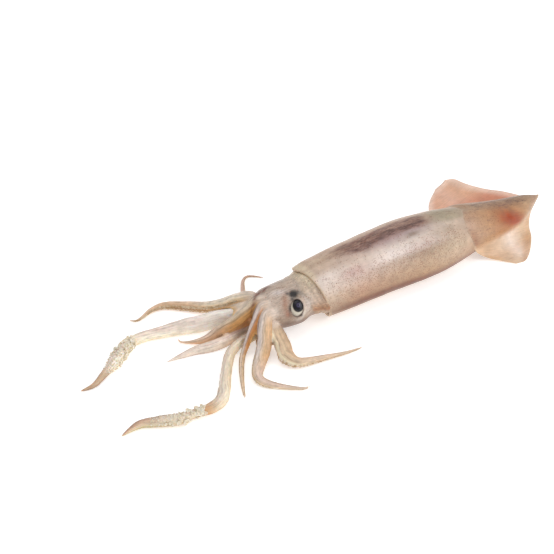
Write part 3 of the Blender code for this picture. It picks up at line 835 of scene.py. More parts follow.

# angle: place on the crown in degrees, from the near side over the top
# route: the points that the middle line passes
# taper: share of the length, and radius there
# roll: share of the length, and how far the arm is turned there, in degrees from the top to the right
# ridge: degrees from the roll to the ridge; keel: degrees from it to a thin edge, its width and its two ends
# skin and tip: degrees from the roll, and colour; tipFrom: shares of the length where the tip's colours
# begin and are full; lines: degrees, width, strength of a dark line, colour
# cups: degrees to each row of suckers, and where the rows start and end
# the skin and tip colours grow darker near ±90 to ±100 degrees, along the arms' sides: painted shade; the
# dark lines near there are partly the arms' own brown edges and partly painted shade
armPlans = {
    "arm_left_1": {
        "angle": 68, "ridge": 40, "keel": (-62, 1.8, 0.1, 0.42),
        "route": ((-142, -2.6, 25), (-151, -6, 17), (-158, -9, 9), (-163, -12, 3.5), (-170, -19, 2.2),
                  (-178, -30, 1.8), (-186, -43, 1.5), (-193, -56, 0.8)),
        "taper": ((0, 2.9), (0.12, 3), (0.3, 2.2), (0.6, 1.7), (0.85, 1.1), (1, 0.45)),
        "roll": ((0, -50), (0.1, -32), (0.3, -25), (0.45, -14), (0.6, 0), (1, 12)),
        "skin": ((-180, "DDBE98"), (-95, "B87A46"), (-60, "C98848"), (-20, "D09058"), (-5, "CFA88C"),
                 (15, "DACBC4"), (55, "D6C6C0"), (80, "B8A098"), (100, "A08A80"), (180, "DDBE98")),
        "tip": ((-180, "E2C8A8"), (-80, "D8B88E"), (-30, "E2C6A4"), (20, "E8D2BC"), (60, "DEC4B2"),
                (95, "B89C8C"), (180, "E2C8A8")),
        "lines": ((66, 7, 0.6, "5C4650"), (0, 6, 0.5, "7A4E34")),
        "cups": ((84, -100), 0.42, 0.97),
    },
    "arm_left_2": {
        "angle": 31, "ridge": 45, "keel": (-75, 1.2, 0.1, 0.45),
        "route": ((-142, -9.8, 22), (-147, -14, 15.5), (-151, -19, 8.5), (-157, -25, 4.8), (-165, -33, 4.2),
                  (-172, -41, 3.6), (-174, -48, 3.2), (-170, -56, 2.6), (-161, -65, 1.9), (-153, -71, 1.4),
                  (-147, -71, 0.8)),
        "taper": ((0, 2.9), (0.25, 4.8), (0.45, 4.3), (0.62, 3), (0.82, 1.5), (1, 0.45)),
        "roll": ((0, -40), (0.1, -14), (0.2, -3), (0.45, -11), (0.55, 5), (0.65, 40), (0.75, 54), (1, 55)),
        "skin": ((-180, "DDBE98"), (-100, "C09468"), (-75, "D0A478"), (-20, "D9B48C"), (5, "DCC4AC"),
                 (25, "E0D2C8"), (60, "D8CAC4"), (85, "B8A49C"), (110, "B8A08C"), (180, "DDBE98")),
        "tip": ((-180, "E0C6A4"), (-90, "B49484"), (-65, "DCC0AE"), (-10, "E6CCBA"), (40, "E2C8AC"),
                (70, "CDB27E"), (95, "B89C68"), (180, "E0C6A4")),
        "lines": ((76, 6, 0.55, "5C4650"), (8, 5, 0.4, "8A6A54"), (-88, 8, 0.4, "7A5648")),
        "cups": ((82, 104, -100), 0.3, 0.97),
    },
    "arm_left_3": {
        "angle": -14, "ridge": 25, "keel": (-78, 2.6, 0.06, 0.40),
        "route": ((-138.8, -14, 12), (-140, -20, 9.5), (-142.5, -29, 6.8), (-145.5, -38, 5.4),
                  (-142, -46, 3.8), (-134, -49, 3), (-119, -52, 2.2), (-104, -55, 1.5), (-89, -56, 0.8)),
        "taper": ((0, 2.9), (0.1, 3.9), (0.24, 4.9), (0.34, 5), (0.46, 3.5), (0.7, 1.9), (1, 0.45)),
        "roll": ((0, -28), (0.08, 15), (0.2, 20), (0.3, 15), (0.4, 40), (0.48, 55), (1, 53)),
        "skin": ((-180, "DDBE98"), (-100, "B88C68"), (-70, "D2B08E"), (-30, "DCC2A2"), (5, "D4B89A"),
                 (18, "ECDDBC"), (40, "ECE0C8"), (60, "DCC8B6"), (90, "B89C88"), (180, "DDBE98")),
        "tip": ((-180, "DDBE98"), (-95, "A8887A"), (-70, "DABEA8"), (-10, "E4CAB0"), (40, "DEBE9C"),
                (75, "D8AE80"), (100, "C69C70"), (180, "DDBE98")),
        "lines": ((84, 7, 0.45, "6A5048"), (2, 5, 0.35, "8A6A50"), (-92, 7, 0.45, "6A4A3C")),
        "cups": ((48, 84, 112), 0.33, 0.97),
    },
    "arm_left_4": {
        "angle": 308, "ridge": 0, "keel": (90, 0.0, 0, 1),
        "route": ((-141, -8.5, 8), (-146, -9, 4.5), (-149, -12, 3), (-147, -15, 2.6), (-141, -14.5, 2.2),
                  (-134.5, -12, 1.6), (-129, -9, 0.9)),
        "taper": ((0, 2.9), (0.4, 2.6), (0.7, 1.9), (1, 0.5)),
        "roll": ((0, -30), (1, 30)),
        "skin": ((-180, "DDBE98"), (-60, "DAB48C"), (40, "E0C6AC"), (180, "DDBE98")),
        "tip": ((-180, "DDBE98"), (-60, "DAB48C"), (40, "E0C6AC"), (180, "DDBE98")),
        "lines": ((80, 8, 0.3, "8A6A54"),),
        "cups": ((100, 130), 0.3, 0.95),
    },
    "arm_right_1": {
        "angle": 100, "ridge": 35, "keel": (-70, 1.5, 0.1, 0.7),
        "route": ((-142, 4.8, 26.6), (-149, 5, 22), (-156, 7, 17), (-163, 9.5, 12.5), (-170, 13.5, 7.5),
                  (-178, 15, 3.5), (-186, 18, 2.4), (-193, 24, 1.4), (-193, 30, 0.8)),
        "taper": ((0, 2.9), (0.25, 4), (0.5, 3.6), (0.7, 2.7), (0.85, 1.3), (1, 0.45)),
        "roll": ((0, -53), (0.1, -49), (0.3, -50), (1, -54)),
        "skin": ((-180, "DDB88A"), (-100, "B8824A"), (-70, "CB9050"), (-25, "CF9A5C"), (0, "C2A078"),
                 (20, "D2BCA2"), (55, "DCCAB4"), (82, "C2AE9A"), (105, "A8907C"), (180, "DDB88A")),
        "tip": ((-180, "E2C6A6"), (-90, "D0A07A"), (-40, "E0B894"), (20, "E6CCB6"), (70, "D4B6A4"),
                (100, "A88878"), (180, "E2C6A6")),
        "lines": ((88, 8, 0.6, "5C4438"), (2, 6, 0.45, "8A6040"), (42, 4, 0.3, "9A7E68")),
        "cups": ((-104, -128), 0.2, 0.97),
    },
    "arm_right_2": {
        "angle": 135, "ridge": 55, "keel": (-80, 0.8, 0.1, 0.7),
        "route": ((-140, 13, 26.5), (-145, 22, 21.5), (-150, 34, 12), (-157, 46, 5.2), (-168, 58, 3.6),
                  (-180, 68, 2.9), (-191, 69, 2.4), (-201, 66, 1.6), (-206, 66, 1.1), (-210, 70, 0.7)),
        "taper": ((0, 2.9), (0.2, 4.1), (0.45, 3.7), (0.7, 2.6), (0.86, 1.4), (1, 0.45)),
        "roll": ((0, -58), (0.2, -72), (0.3, -70), (0.45, -57), (0.8, -50), (1, -40)),
        "skin": ((-180, "E6CAA6"), (-110, "D8AC7A"), (-80, "E6BA84"), (-35, "EAC494"), (-5, "F0D6B0"),
                 (20, "F6E8D2"), (60, "F2E2D2"), (82, "DCCABA"), (100, "C6AC9A"), (180, "E6CAA6")),
        "tip": ((-180, "DDBE98"), (-100, "C89A70"), (-40, "D8A880"), (20, "E0BE9E"), (65, "DDBEA4"),
                (95, "A88878"), (180, "DDBE98")),
        "lines": ((90, 6, 0.45, "6A5048"), (34, 4, 0.3, "A08468"), (-42, 20, 0.34, "A4683A"),
                  (-92, 7, 0.35, "8A5E38")),
        "cups": ((-22, -62, -96), 0.16, 0.97),
    },
    "arm_right_3": {
        "angle": 170, "ridge": 0, "keel": (-90, 0.0, 0, 1),
        "route": ((-139.5, 16.2, 16.3), (-137, 25, 8.5), (-130, 36, 4), (-124, 46, 2.4), (-119, 54, 1.9),
                  (-113, 62, 1.5), (-107, 65, 1.2), (-101, 61, 1), (-97, 56, 0.7)),
        "taper": ((0, 2.9), (0.2, 2.9), (0.5, 1.9), (0.75, 1.2), (1, 0.45)),
        "roll": ((0, -53), (0.1, -91), (0.2, -103), (0.28, -20), (0.45, -8), (0.7, 5), (0.85, 40), (1, 55)),
        "skin": ((-180, "DDBE98"), (-90, "B89080"), (-50, "D8B89E"), (10, "E2C8B4"), (50, "D0A890"),
                 (90, "B48C7C"), (180, "DDBE98")),
        "tip": ((-180, "DDBE98"), (-90, "A87C6C"), (-40, "D2AA94"), (20, "DEBCA8"), (60, "C89C88"),
                (95, "A0786A"), (180, "DDBE98")),
        "lines": ((80, 9, 0.6, "7A4A40"), (-80, 9, 0.6, "7A4A40"), (5, 6, 0.3, "A07060")),
        "cups": ((75, 105), 0.25, 0.97),
    },
    "arm_right_4": {
        "angle": 244, "ridge": 45, "keel": (-85, 1.2, 0.1, 0.8),
        "route": ((-142, 5.8, 5.2), (-152, 7, 4), (-162, 6, 3.8), (-172, 5, 3.9), (-182, 6, 3.7),
                  (-192, 9, 3), (-203, 10, 2), (-215, 11, 0.8)),
        "taper": ((0, 2.9), (0.2, 3.3), (0.5, 3.7), (0.75, 2.6), (1, 0.45)),
        "roll": ((0, -45), (0.2, -49), (1, -50)),
        "skin": ((-180, "E2C8A8"), (-100, "C8A080"), (-70, "E6CAAE"), (-20, "F2E0D0"), (20, "F2DED2"),
                 (50, "EACCB6"), (75, "D0A070"), (100, "B08060"), (180, "E2C8A8")),
        "tip": ((-180, "E8D4BC"), (-95, "C0A490"), (-50, "EADACA"), (20, "EEDFD2"), (70, "DCC4B2"),
                (100, "B49A88"), (180, "E8D4BC")),
        "lines": ((84, 7, 0.5, "8A5E48"), (-86, 6, 0.45, "8A6656"), (22, 5, 0.3, "C07E70"),
                  (-28, 4, 0.25, "B08878")),
        "cups": ((-108, -135), 0.25, 0.97),
    },
    "tentacle_left": {
        "angle": 277, "ridge": 10, "keel": (-90, 0.0, 0, 1),
        "route": ((-141, -1.2, 5.5), (-150, -2, 4), (-160, -3, 3.9), (-169, -7, 4), (-177, -13, 4.2),
                  (-190, -28, 4.2), (-200, -41, 4.4), (-209, -51, 4.6), (-219, -54, 4), (-231, -52, 3.4),
                  (-244, -52, 4.3), (-256, -46, 3.6), (-268, -40, 3.1), (-277, -40, 2.2), (-285, -41, 0.8)),
        "taper": ((0, 2.9), (0.1, 3.5), (0.35, 3.9), (0.55, 4.4), (0.7, 3.2), (0.77, 4.2), (0.9, 3),
                  (1, 0.45)),
        "roll": ((0, -46), (0.15, -40), (0.3, -8), (0.45, -3), (0.6, -46), (0.75, -53), (1, -53)),
        "skin": ((-180, "E6D6BC"), (-95, "CDB28C"), (-60, "E4D2B2"), (-10, "EEE0C8"), (30, "EADCCC"),
                 (70, "E2CCB4"), (95, "B89C84"), (180, "E6D6BC")),
        "tipFrom": (0.78, 0.90),
        "tip": ((-180, "DCC8A0"), (-95, "B8A470"), (-60, "CDBC8C"), (-20, "DECAAE"), (20, "D6B69A"),
                (60, "C69E84"), (90, "94705E"), (180, "DCC8A0")),
        "lines": ((84, 7, 0.5, "7A5E50"), (-4, 4, 0.28, "B09080"), (30, 3, 0.2, "A88878")),
        "cups": (),
    },
    "tentacle_right": {
        "angle": 208, "ridge": 30, "keel": (-90, 0.0, 0, 1),
        "route": ((-142, 12.2, 9.8), (-150, 18.6, 9.2), (-160, 25.2, 8.0), (-172, 29, 7.0), (-185, 34.4, 5.9),
                  (-199, 39, 4.8), (-214, 43, 4.2), (-226, 42, 4.4), (-238, 35, 5.1), (-250, 27, 5),
                  (-261, 22, 3), (-272, 17, 1.9), (-282, 18, 0.8)),
        "taper": ((0, 2.9), (0.06, 4.8), (0.15, 6.5), (0.3, 6.2), (0.52, 4), (0.65, 4.0), (0.76, 4.6),
                  (0.84, 2.9), (0.92, 2.1), (1, 0.45)),
        "roll": ((0, -45), (0.1, -55), (0.5, -53), (0.62, -44), (0.75, -26), (1, -31)),
        "skin": ((-180, "F0E0C6"), (-100, "D8BC94"), (-70, "F2E4C6"), (-25, "FAF0E2"), (10, "F4E4D8"),
                 (45, "EED8CC"), (75, "F0DED2"), (98, "CDB8AA"), (180, "F0E0C6")),
        "tipFrom": (0.80, 0.87),
        "tip": ((-180, "D0B494"), (-95, "7E5C46"), (-60, "B8987A"), (-20, "CDB294"), (25, "C6A688"),
                (60, "AC886C"), (95, "845440"), (180, "D8B898")),
        "lines": ((90, 6, 0.40, "6A5048"), (48, 4, 0.35, "A87E74"), (24, 3, 0.3, "B48E84"),
                  (-2, 3, 0.2, "B89A88")),
        "cups": (),
    },
}

# skin between neighbouring arms: how far along each arm it reaches, and its colour
webPlans = (
    ("arm_left_1", 0.46, "arm_left_2", 0.30, "C67E3E"),
    ("arm_left_2", 0.34, "arm_left_3", 0.27, "D6AE84"),
    ("arm_right_1", 0.20, "arm_left_1", 0.16, "B87A48"),
    ("arm_right_2", 0.47, "arm_right_1", 0.42, "E8D4C0"),
    ("arm_right_3", 0.14, "arm_right_2", 0.14, "CDAE98"),
    ("tentacle_right", 0.13, "arm_right_4", 0.26, "D8AC86"),
    # these two webs keep their own orange colour, painted lighter to offset the shade of the arms over them:
    # painted light
    ("arm_right_4", 0.20, "arm_left_1", 0.16, "F0B27C"),
    ("arm_right_1", 0.62, "arm_right_4", 0.56, "F2BC88"),
)


def armLine(plan, count):
    # middle line, radii, share of the length, and two directions across at each point
    crown = crownPlan
    angle = math.radians(plan["angle"])
    y = crown["y"] - crown["halfWidth"] * math.cos(angle)
    z = crown["z"] + crown["halfHeight"] * math.sin(angle)
    rootY = crown["y"] + (y - crown["y"]) * 0.82
    rootZ = crown["z"] + (z - crown["z"]) * 0.82
    points = [(crown["inside"], rootY, rootZ), (crown["x"] - 2.5, y, z)] + list(plan["route"])
    line = smoothRoute(points, count)
    reach = lengthsAlong(line)
    start = abs(crown["inside"] - crown["x"])
    share = np.clip((reach - start) / (reach[-1] - start), 0.0, 1.0)
    radius = smoothAt(plan["taper"], share)[0]
    radius = radius + crown["swell"] * np.clip(1 - share / crown["swellReach"], 0, 1) ** 2
    line[:, 2] = np.maximum(line[:, 2], radius * 0.96 + 0.05)
    ahead = unit(np.gradient(line, axis=0))
    right = unit(np.cross(ahead, np.array([0.0, 0.0, 1.0])))
    above = np.cross(right, ahead)
    return line, radius, share, right, above


def rollAt(plan, share):
    return np.interp(share, [row[0] for row in plan["roll"]], [row[1] for row in plan["roll"]])


def turnApart(turn, other):
    return (turn - other + 180) % 360 - 180


def armSection(plan, share, radius, turns):
    # distance from the middle line to the skin; turns are measured from the top
    rolled = turnApart(turns, rollAt(plan, share))
    keelTurn, keelWidth, keelStart, keelEnd = plan["keel"]
    shape = 1.0 + limbShape["threeSides"] * np.cos(np.radians(3 * (rolled - plan["ridge"])))
    shape = shape + limbShape["ridge"] * bump(0, limbShape["ridgeWidth"], turnApart(rolled, plan["ridge"]))
    stand = ease(keelStart - 0.05, keelStart + 0.06, share) * ease(keelEnd + 0.14, keelEnd - 0.1, share)
    keel = bump(0, limbShape["keelWidth"], turnApart(rolled, keelTurn))
    return radius * shape + keelWidth * stand * keel


def armSkin(plan, count, sides):
    line, radius, share, right, above = armLine(plan, count)
    turns = np.broadcast_to(np.arange(sides)[None, :] * 360 / sides, (count, sides))
    reach = armSection(plan, share[:, None], radius[:, None], turns)
    tip = np.sqrt(np.clip((1.0 - share) / limbShape["tipReach"], 0.02, 1))
    reach = reach * np.where(share > 0.9, tip, 1.0)[:, None]
    across = np.cos(np.radians(turns))[..., None] * above[:, None, :]
    across = across + np.sin(np.radians(turns))[..., None] * right[:, None, :]
    grid = line[:, None, :] + across * reach[..., None]
    knots = ripple(grid.reshape(-1, 3), limbShape["knotSize"], 17).reshape(count, sides)
    grid = grid + across * (knots * limbShape["knots"] * radius[:, None])[..., None]
    grid[..., 2] = np.maximum(grid[..., 2], 0.06)
    return grid


def webSlab(firstPlan, firstReach, secondPlan, secondReach):
    # a thin slab of skin between two arms, with a hollow free edge
    first = armLine(firstPlan, limbDetail["webSteps"])
    second = armLine(secondPlan, limbDetail["webSteps"])
    rows, columns = limbDetail["webRows"], limbDetail["webColumns"]
    sheet = np.zeros((columns, rows, 3))
    for column in range(columns):
        across = column / (columns - 1)
        hollow = 1.0 - limbShape["webHollow"] * math.sin(math.pi * across)
        for row in range(rows):
            along = row / (rows - 1) * hollow
            ends = []
            for (line, _, share, _, _), reach in ((first, firstReach), (second, secondReach)):
                ends.append(np.array([np.interp(along * reach, share[15:], line[15:, i]) for i in range(3)]))
            sheet[column, row] = ends[0] * (1 - across) + ends[1] * across
    normal = np.cross(np.gradient(sheet, axis=0), np.gradient(sheet, axis=1))
    length = np.linalg.norm(normal, axis=-1, keepdims=True)
    normal = normal / np.maximum(length, 1e-6)
    normal = np.where(normal[..., 2:3] < 0, -normal, normal)
    half = limbShape["webThickness"] / 2
    return sheet - normal * half, sheet + normal * half, sheet


def headRing(xs):
    xs = np.clip(xs, headPlan["stations"][-1][0], headPlan["stations"][0][0])
    return smoothAt(headPlan["stations"], xs)


def headGrid():
    # the head's skin rises to the mantle's inner wall and closes the mouth
    plan = headPlan
    xs = np.linspace(plan["stations"][0][0], plan["stations"][-1][0], plan["rings"])[:, None]
    halfWidth, halfHeight, middleY, middleZ = headRing(xs)
    turns = np.radians(np.arange(plan["sides"]) * 360 / plan["sides"])[None, :]
    headY = middleY + halfWidth * np.cos(turns)
    headZ = middleZ + halfHeight * np.sin(turns)
    mouthWidth, mouthHeight, mouthMiddle = mantleSection(np.array(0.0))[:3]
    room = mantlePlan["wall"] + plan["collarGap"]
    rimAcross, rimHigh = mantleOutline(turns, 0.0)[:2]
    rimY = (mouthWidth - room) * rimAcross
    rimZ = mouthMiddle + (mouthHeight - room) * rimHigh
    rimZ = np.maximum(rimZ - mantlePlan["lipDroop"] * bump(78.0, 40.0, np.degrees(turns)), room)
    rimX = mantlePlan["mouthX"] - mantlePlan["mouthSlant"] * np.sin(turns)
    past = xs - rimX
    rise = ease(-plan["collarReach"], 0.5, past) * ease(12.0, 4.0, past)
    fold = plan["collarFold"] * bump(-plan["collarReach"] + 1.5, 1.6, past)
    y = headY * (1 - rise) + rimY * rise + fold * np.cos(turns)
    z = headZ * (1 - rise) + rimZ * rise + fold * np.sin(turns) * 0.6
    flap = plan["flapRise"] * bump(190.0, 15.0, np.degrees(turns))
    y = y + flap * ease(-8.0, -1.0, past) * ease(2.4, 1.4, past) * np.cos(turns)
    return np.stack([np.broadcast_to(xs, y.shape), y, np.maximum(z, 0.05)], -1)


def joinMeshes(name, meshes):
    shape = bmesh.new()
    for mesh in meshes:
        shape.from_mesh(mesh)
        bpy.data.meshes.remove(mesh)
    joined = bpy.data.meshes.new(name)
    bmesh.ops.recalc_face_normals(shape, faces=shape.faces)
    shape.to_mesh(joined)
    shape.free()
    return joined


def remeshed(mesh, voxel):
    thing = addObject("rough", mesh)
    remesh = thing.modifiers.new("blend", "REMESH")
    remesh.mode = "VOXEL"
    remesh.voxel_size = voxel * mm
    graph = bpy.context.evaluated_depsgraph_get()
    result = bpy.data.meshes.new_from_object(thing.evaluated_get(graph))
    bpy.data.objects.remove(thing)
    return result


def relax(mesh, weights, rounds):
    # moves points towards their neighbours' middle, by their weight
    points = meshPoints(mesh)
    edges = np.empty(len(mesh.edges) * 2, np.int64)
    mesh.edges.foreach_get("vertices", edges)
    edges = edges.reshape(-1, 2)
    count = np.bincount(edges.ravel(), minlength=len(points)).astype(float)
    for _ in range(rounds):
        total = np.zeros_like(points)
        for axis in range(3):
            total[:, axis] = np.bincount(edges[:, 0], points[edges[:, 1], axis], len(points))
            total[:, axis] += np.bincount(edges[:, 1], points[edges[:, 0], axis], len(points))
        middle = total / np.maximum(count, 1)[:, None]
        points = points + (middle - points) * weights[:, None]
    setMeshPoints(mesh, points)
    return points


def headDistance(points):
    # about how far points are outside the head
    halfWidth, halfHeight, middleY, middleZ = headRing(points[:, 0])
    across = (points[:, 1] - middleY) / halfWidth
    high = (points[:, 2] - middleZ) / halfHeight
    return (np.sqrt(across ** 2 + high ** 2) - 1) * (halfWidth + halfHeight) / 2


def nearestOf(points, places, radii):
    # number of the place nearest to each point, and the gap to its surface
    index = np.empty(len(points), int)
    gap = np.empty(len(points))
    for start in range(0, len(points), limbDetail["batch"]):
        rows = slice(start, start + limbDetail["batch"])
        away = np.linalg.norm(points[rows, None, :] - places[None, :, :], axis=2) - radii
        index[rows] = away.argmin(1)
        gap[rows] = away.min(1)
    return index, gap


def nearestLimb(points, names, webs):
    # for each point: number of the nearest arm or web, share along it, turn from its roll, gap and length
    best = np.full(len(points), 1e9)
    which = np.zeros(len(points), int)
    found = np.zeros((3, len(points)))
    for number, name in enumerate(names):
        plan = armPlans[name]
        line, radius, share, right, above = armLine(plan, limbDetail["paintSteps"])
        index, gap = nearestOf(points, line, radius)
        offset = points - line[index]
        turn = np.degrees(np.arctan2((offset * right[index]).sum(1), (offset * above[index]).sum(1)))
        turn = turnApart(turn, rollAt(plan, share[index]))
        facts = np.stack([share[index], turn, lengthsAlong(line)[index]])
        nearer = gap < best
        best[nearer] = gap[nearer]
        which[nearer] = number
        found[:, nearer] = facts[:, nearer]
    for number, (sheet, _) in enumerate(webs):
        columns, rows = sheet.shape[:2]
        along = np.tile(np.linspace(0, 1, rows), columns)
        across = np.repeat(np.linspace(0, 1, columns), rows)
        index, gap = nearestOf(points, sheet.reshape(-1, 3), 0.9)
        facts = np.stack([along[index], 180.0 * across[index], 30.0 * along[index]])
        nearer = gap < best - 0.25
        best[nearer] = gap[nearer]
        which[nearer] = len(names) + number
        found[:, nearer] = facts[:, nearer]
    share, turn, along = found
    return which, share, turn, best, along


def eyeFrame(side):
    # centre, gaze and the two directions across the gaze, forwards and up
    centre = np.array(eyePlan[side])
    gaze = np.array(eyePlan[side + "Gaze"].normalized())
    forwards = unit(np.cross(gaze, np.array([0.0, 0.0, 1.0])))
    above = np.cross(forwards, gaze)
    if forwards[0] > 0:
        forwards = -forwards
    return centre, gaze, forwards, above


def lidPlace(points, side):
    # 1 on the edge of the gap between the lids; also the place across the gaze and the depth along it
    centre, gaze, forwards, above = eyeFrame(side)
    offset = points - centre
    ahead = offset @ forwards
    high = offset @ above
    middle, size = eyePlan["gapPlace"], eyePlan["gapSize"]
    ring = np.sqrt(((ahead - middle[0]) / size[0]) ** 2 + ((high - middle[1]) / size[1]) ** 2)
    return ring, ahead, high, offset @ gaze


def openEyes(points):
    # raises the skin to the ball round the gap, and sinks it inside the gap
    for side in ("left", "right"):
        gaze = eyeFrame(side)[1]
        ring, _, _, depth = lidPlace(points, side)
        front = depth > eyePlan["backDepth"]
        raised = eyePlan["lidHeight"] + eyePlan["lidRoll"] * bump(1.16, 0.16, ring)
        lift = np.maximum(raised - depth, 0) * ease(*eyePlan["lidReach"], ring) * front
        inside = ease(1.02, 0.92, ring) * (depth > 0) * (depth < eyePlan["outerDepth"])
        sink = np.minimum(eyePlan["gapDepth"] - depth - lift, 0) * inside
        points = points + gaze * (lift + sink)[:, None]
    return points


def headColours(points):
    xs = points[:, 0]
    halfWidth, halfHeight, middleY, middleZ = headRing(np.clip(xs, -131, -84))
    turn = np.degrees(np.arctan2((points[:, 2] - middleZ) / halfHeight, (points[:, 1] - middleY) / halfWidth))
    down = np.abs(turnApart(turn, 90))
    # darker round 112 degrees down, where the head's side turns under: painted shade
    colours = colourAt(((0, "BFAB9A"), (40, "C2AE9F"), (70, "C2AFA0"), (95, "AE9885"), (112, "8E7462"),
                        (140, "A88E7C"), (180, "C4AE9C")), down)
    # collar band with folds along the rim
    past = xs - (mantlePlan["mouthX"] - mantlePlan["mouthSlant"] * np.sin(np.radians(turn)))
    reach = headPlan["collarReach"] + 2.0 * ease(60, 90, down) - 3.0 * ease(40, 0, down)
    band = colourAt(((0, "D6C2AA"), (50, "CDB8A4"), (75, "C6AC98"), (96, "B08662"), (130, "B89878"),
                     (180, "C0A48C")), down)
    folds = 0.5 + 0.5 * np.sin(past * 2.1 + 1.5 * ripple(points, 12.0, 51))
    band = band * (0.86 + 0.18 * folds[:, None])
    collar = ease(-reach - 0.8, -reach + 0.8, past)
    colours = colours * (1 - collar[:, None]) + band * collar[:, None]
    colours = tint(colours, "86705C", 0.5 * bump(-reach, 0.8, past) * ease(25, 50, down))
    colours = tint(colours, "E0CFB2", 0.7 * ease(-5.0, -1.5, past) * ease(46, 26, down))
    colours = tint(colours, "9A6440", 0.6 * bump(101, 6, down) * collar)
    # painted shade on the lower side of the head, between the collar and the arms
    beneathShade = ease(96, 112, down) * ease(-106, -112, xs) * ease(-132, -128, xs)
    colours = tint(colours, "705442", 0.65 * beneathShade)
    # reddish brown streaks on top of the crown
    ys, zs = points[:, 1], points[:, 2]
    top = spot(xs, ys, (-134, 9.5 + 0.2 * (xs + 134)), (7.5, 3.6))
    top = top * ease(20, 25, zs) * (0.72 + 0.5 * ripple(points * [0.4, 1.6, 1.0], 5.0, 52))
    colours = tint(colours, "8E6658", 0.5 * top)
    # pale folds before the eye: a painted highlight along the fold's ridge and painted shade in the crease
    # beside it
    fold = spot(xs, ys, (-126, -2.5 - 0.3 * (xs + 126)), (6.0, 2.6))
    colours = tint(colours, "DCD0CC", 0.75 * fold * ease(24, 28, zs))
    creaseShade = spot(xs, ys, (-124, 1.4 - 0.3 * (xs + 124)), (7.0, 1.0))
    colours = tint(colours, "8A7468", 0.5 * creaseShade * ease(24, 28, zs))
    for side, strength in (("left", 1.0), ("right", 0.9)):
        colours = eyeSurround(colours, points, side, strength)
    return colours


def crownStreak(colours, points):
    # reddish brown streak where the upper arms leave the head
    route = np.array([(-127.5, 8.0), (-131.5, 7.6), (-135.0, 8.6), (-139.0, 7.0), (-145.0, 2.6),
                      (-150.0, -0.5)])
    steps = np.linspace(0, len(route) - 1, 60)
    line = np.stack([np.interp(steps, np.arange(len(route)), route[:, i]) for i in range(2)], -1)
    gap = np.linalg.norm(points[:, None, :2] - line[None, :, :], axis=2).min(1)
    broken = 0.75 + 0.45 * ripple(points * [0.5, 1.2, 1.0], 4.0, 57)
    thin = 1.9 * ease(-150, -136, points[:, 0]) + 0.5
    streak = np.exp(-(gap / thin) ** 2) * ease(19, 24, points[:, 2]) * broken
    return tint(colours, "6E3A2C", np.clip(0.85 * streak, 0, 0.9))


def eyeSurround(colours, points, side, strength):
    ring, ahead, high, depth = lidPlace(points, side)
    front = ease(-5.0, -2.0, depth) * ease(15, 12, depth)
    for hexText, amount, place, size in (("CFC2B8", 0.75, (-9.5, -1.0), (4.0, 7.0)),
                                         ("9E6E52", 0.8, (8.2, 1.5), (2.4, 7.5)),
                                         ("7E766C", 0.75, (0.0, 8.4), (5.6, 3.6)),
                                         ("A05A40", 0.6, (6.4, -6.5), (1.8, 2.4))):
        colours = tint(colours, hexText, amount * strength * spot(ahead, high, place, size) * front)
    colours = tint(colours, "4A3834", 0.75 * strength * bump(1.04, 0.12, ring) * front)
    ragged = 1 + 0.35 * ripple(points, 2.6, 55)
    dark = 1 - np.exp(-7.0 * ragged * spot(ahead, high, (1.9, 8.1), (2.1, 1.9)))
    for amount, place, size in ((0.85, (2.9, 4.4), (1.5, 1.7)), (0.8, (4.9, -2.5), (0.9, 3.0)),
                                (0.8, (-3.2, -7.6), (1.8, 0.9))):
        dark = np.maximum(dark, amount * spot(ahead, high, place, size))
    colours = tint(colours, "160E10", 0.98 * strength * np.clip(dark, 0, 1) * front)
    for amount, place, size in ((0.8, (6.4, 8.6), (1.5, 1.1)), (0.7, (-1.6, 9.8), (1.2, 0.8))):
        colours = tint(colours, "2E2224", amount * strength * spot(ahead, high, place, size) * front)
    colours = tint(colours, "B8A896", 0.9 * ease(0.99, 0.92, ring) * front)
    return colours


def limbColours(plan, share, turn, points):
    skin = colourAt(plan["skin"], turn)
    tip = colourAt(plan["tip"], turn)
    aged = ease(*plan.get("tipFrom", limbShape["tipFrom"]), share)[:, None]
    colours = skin * (1 - aged) + tip * aged
    wander = 9 * ripple(points, 14.0, 61)
    for place, width, strength, hexText in plan["lines"]:
        line = bump(0, width, turnApart(turn + wander, place))
        line = line * ease(0.0, 0.08, share) * ease(1.0, 0.8, share)
        broken = 0.65 + 0.45 * ripple(points, 9.0, 62)
        shown = limbShape["lineStrength"] * strength * line * broken
        colours = tint(colours, hexText, np.clip(shown, 0, 0.95))
    return colours


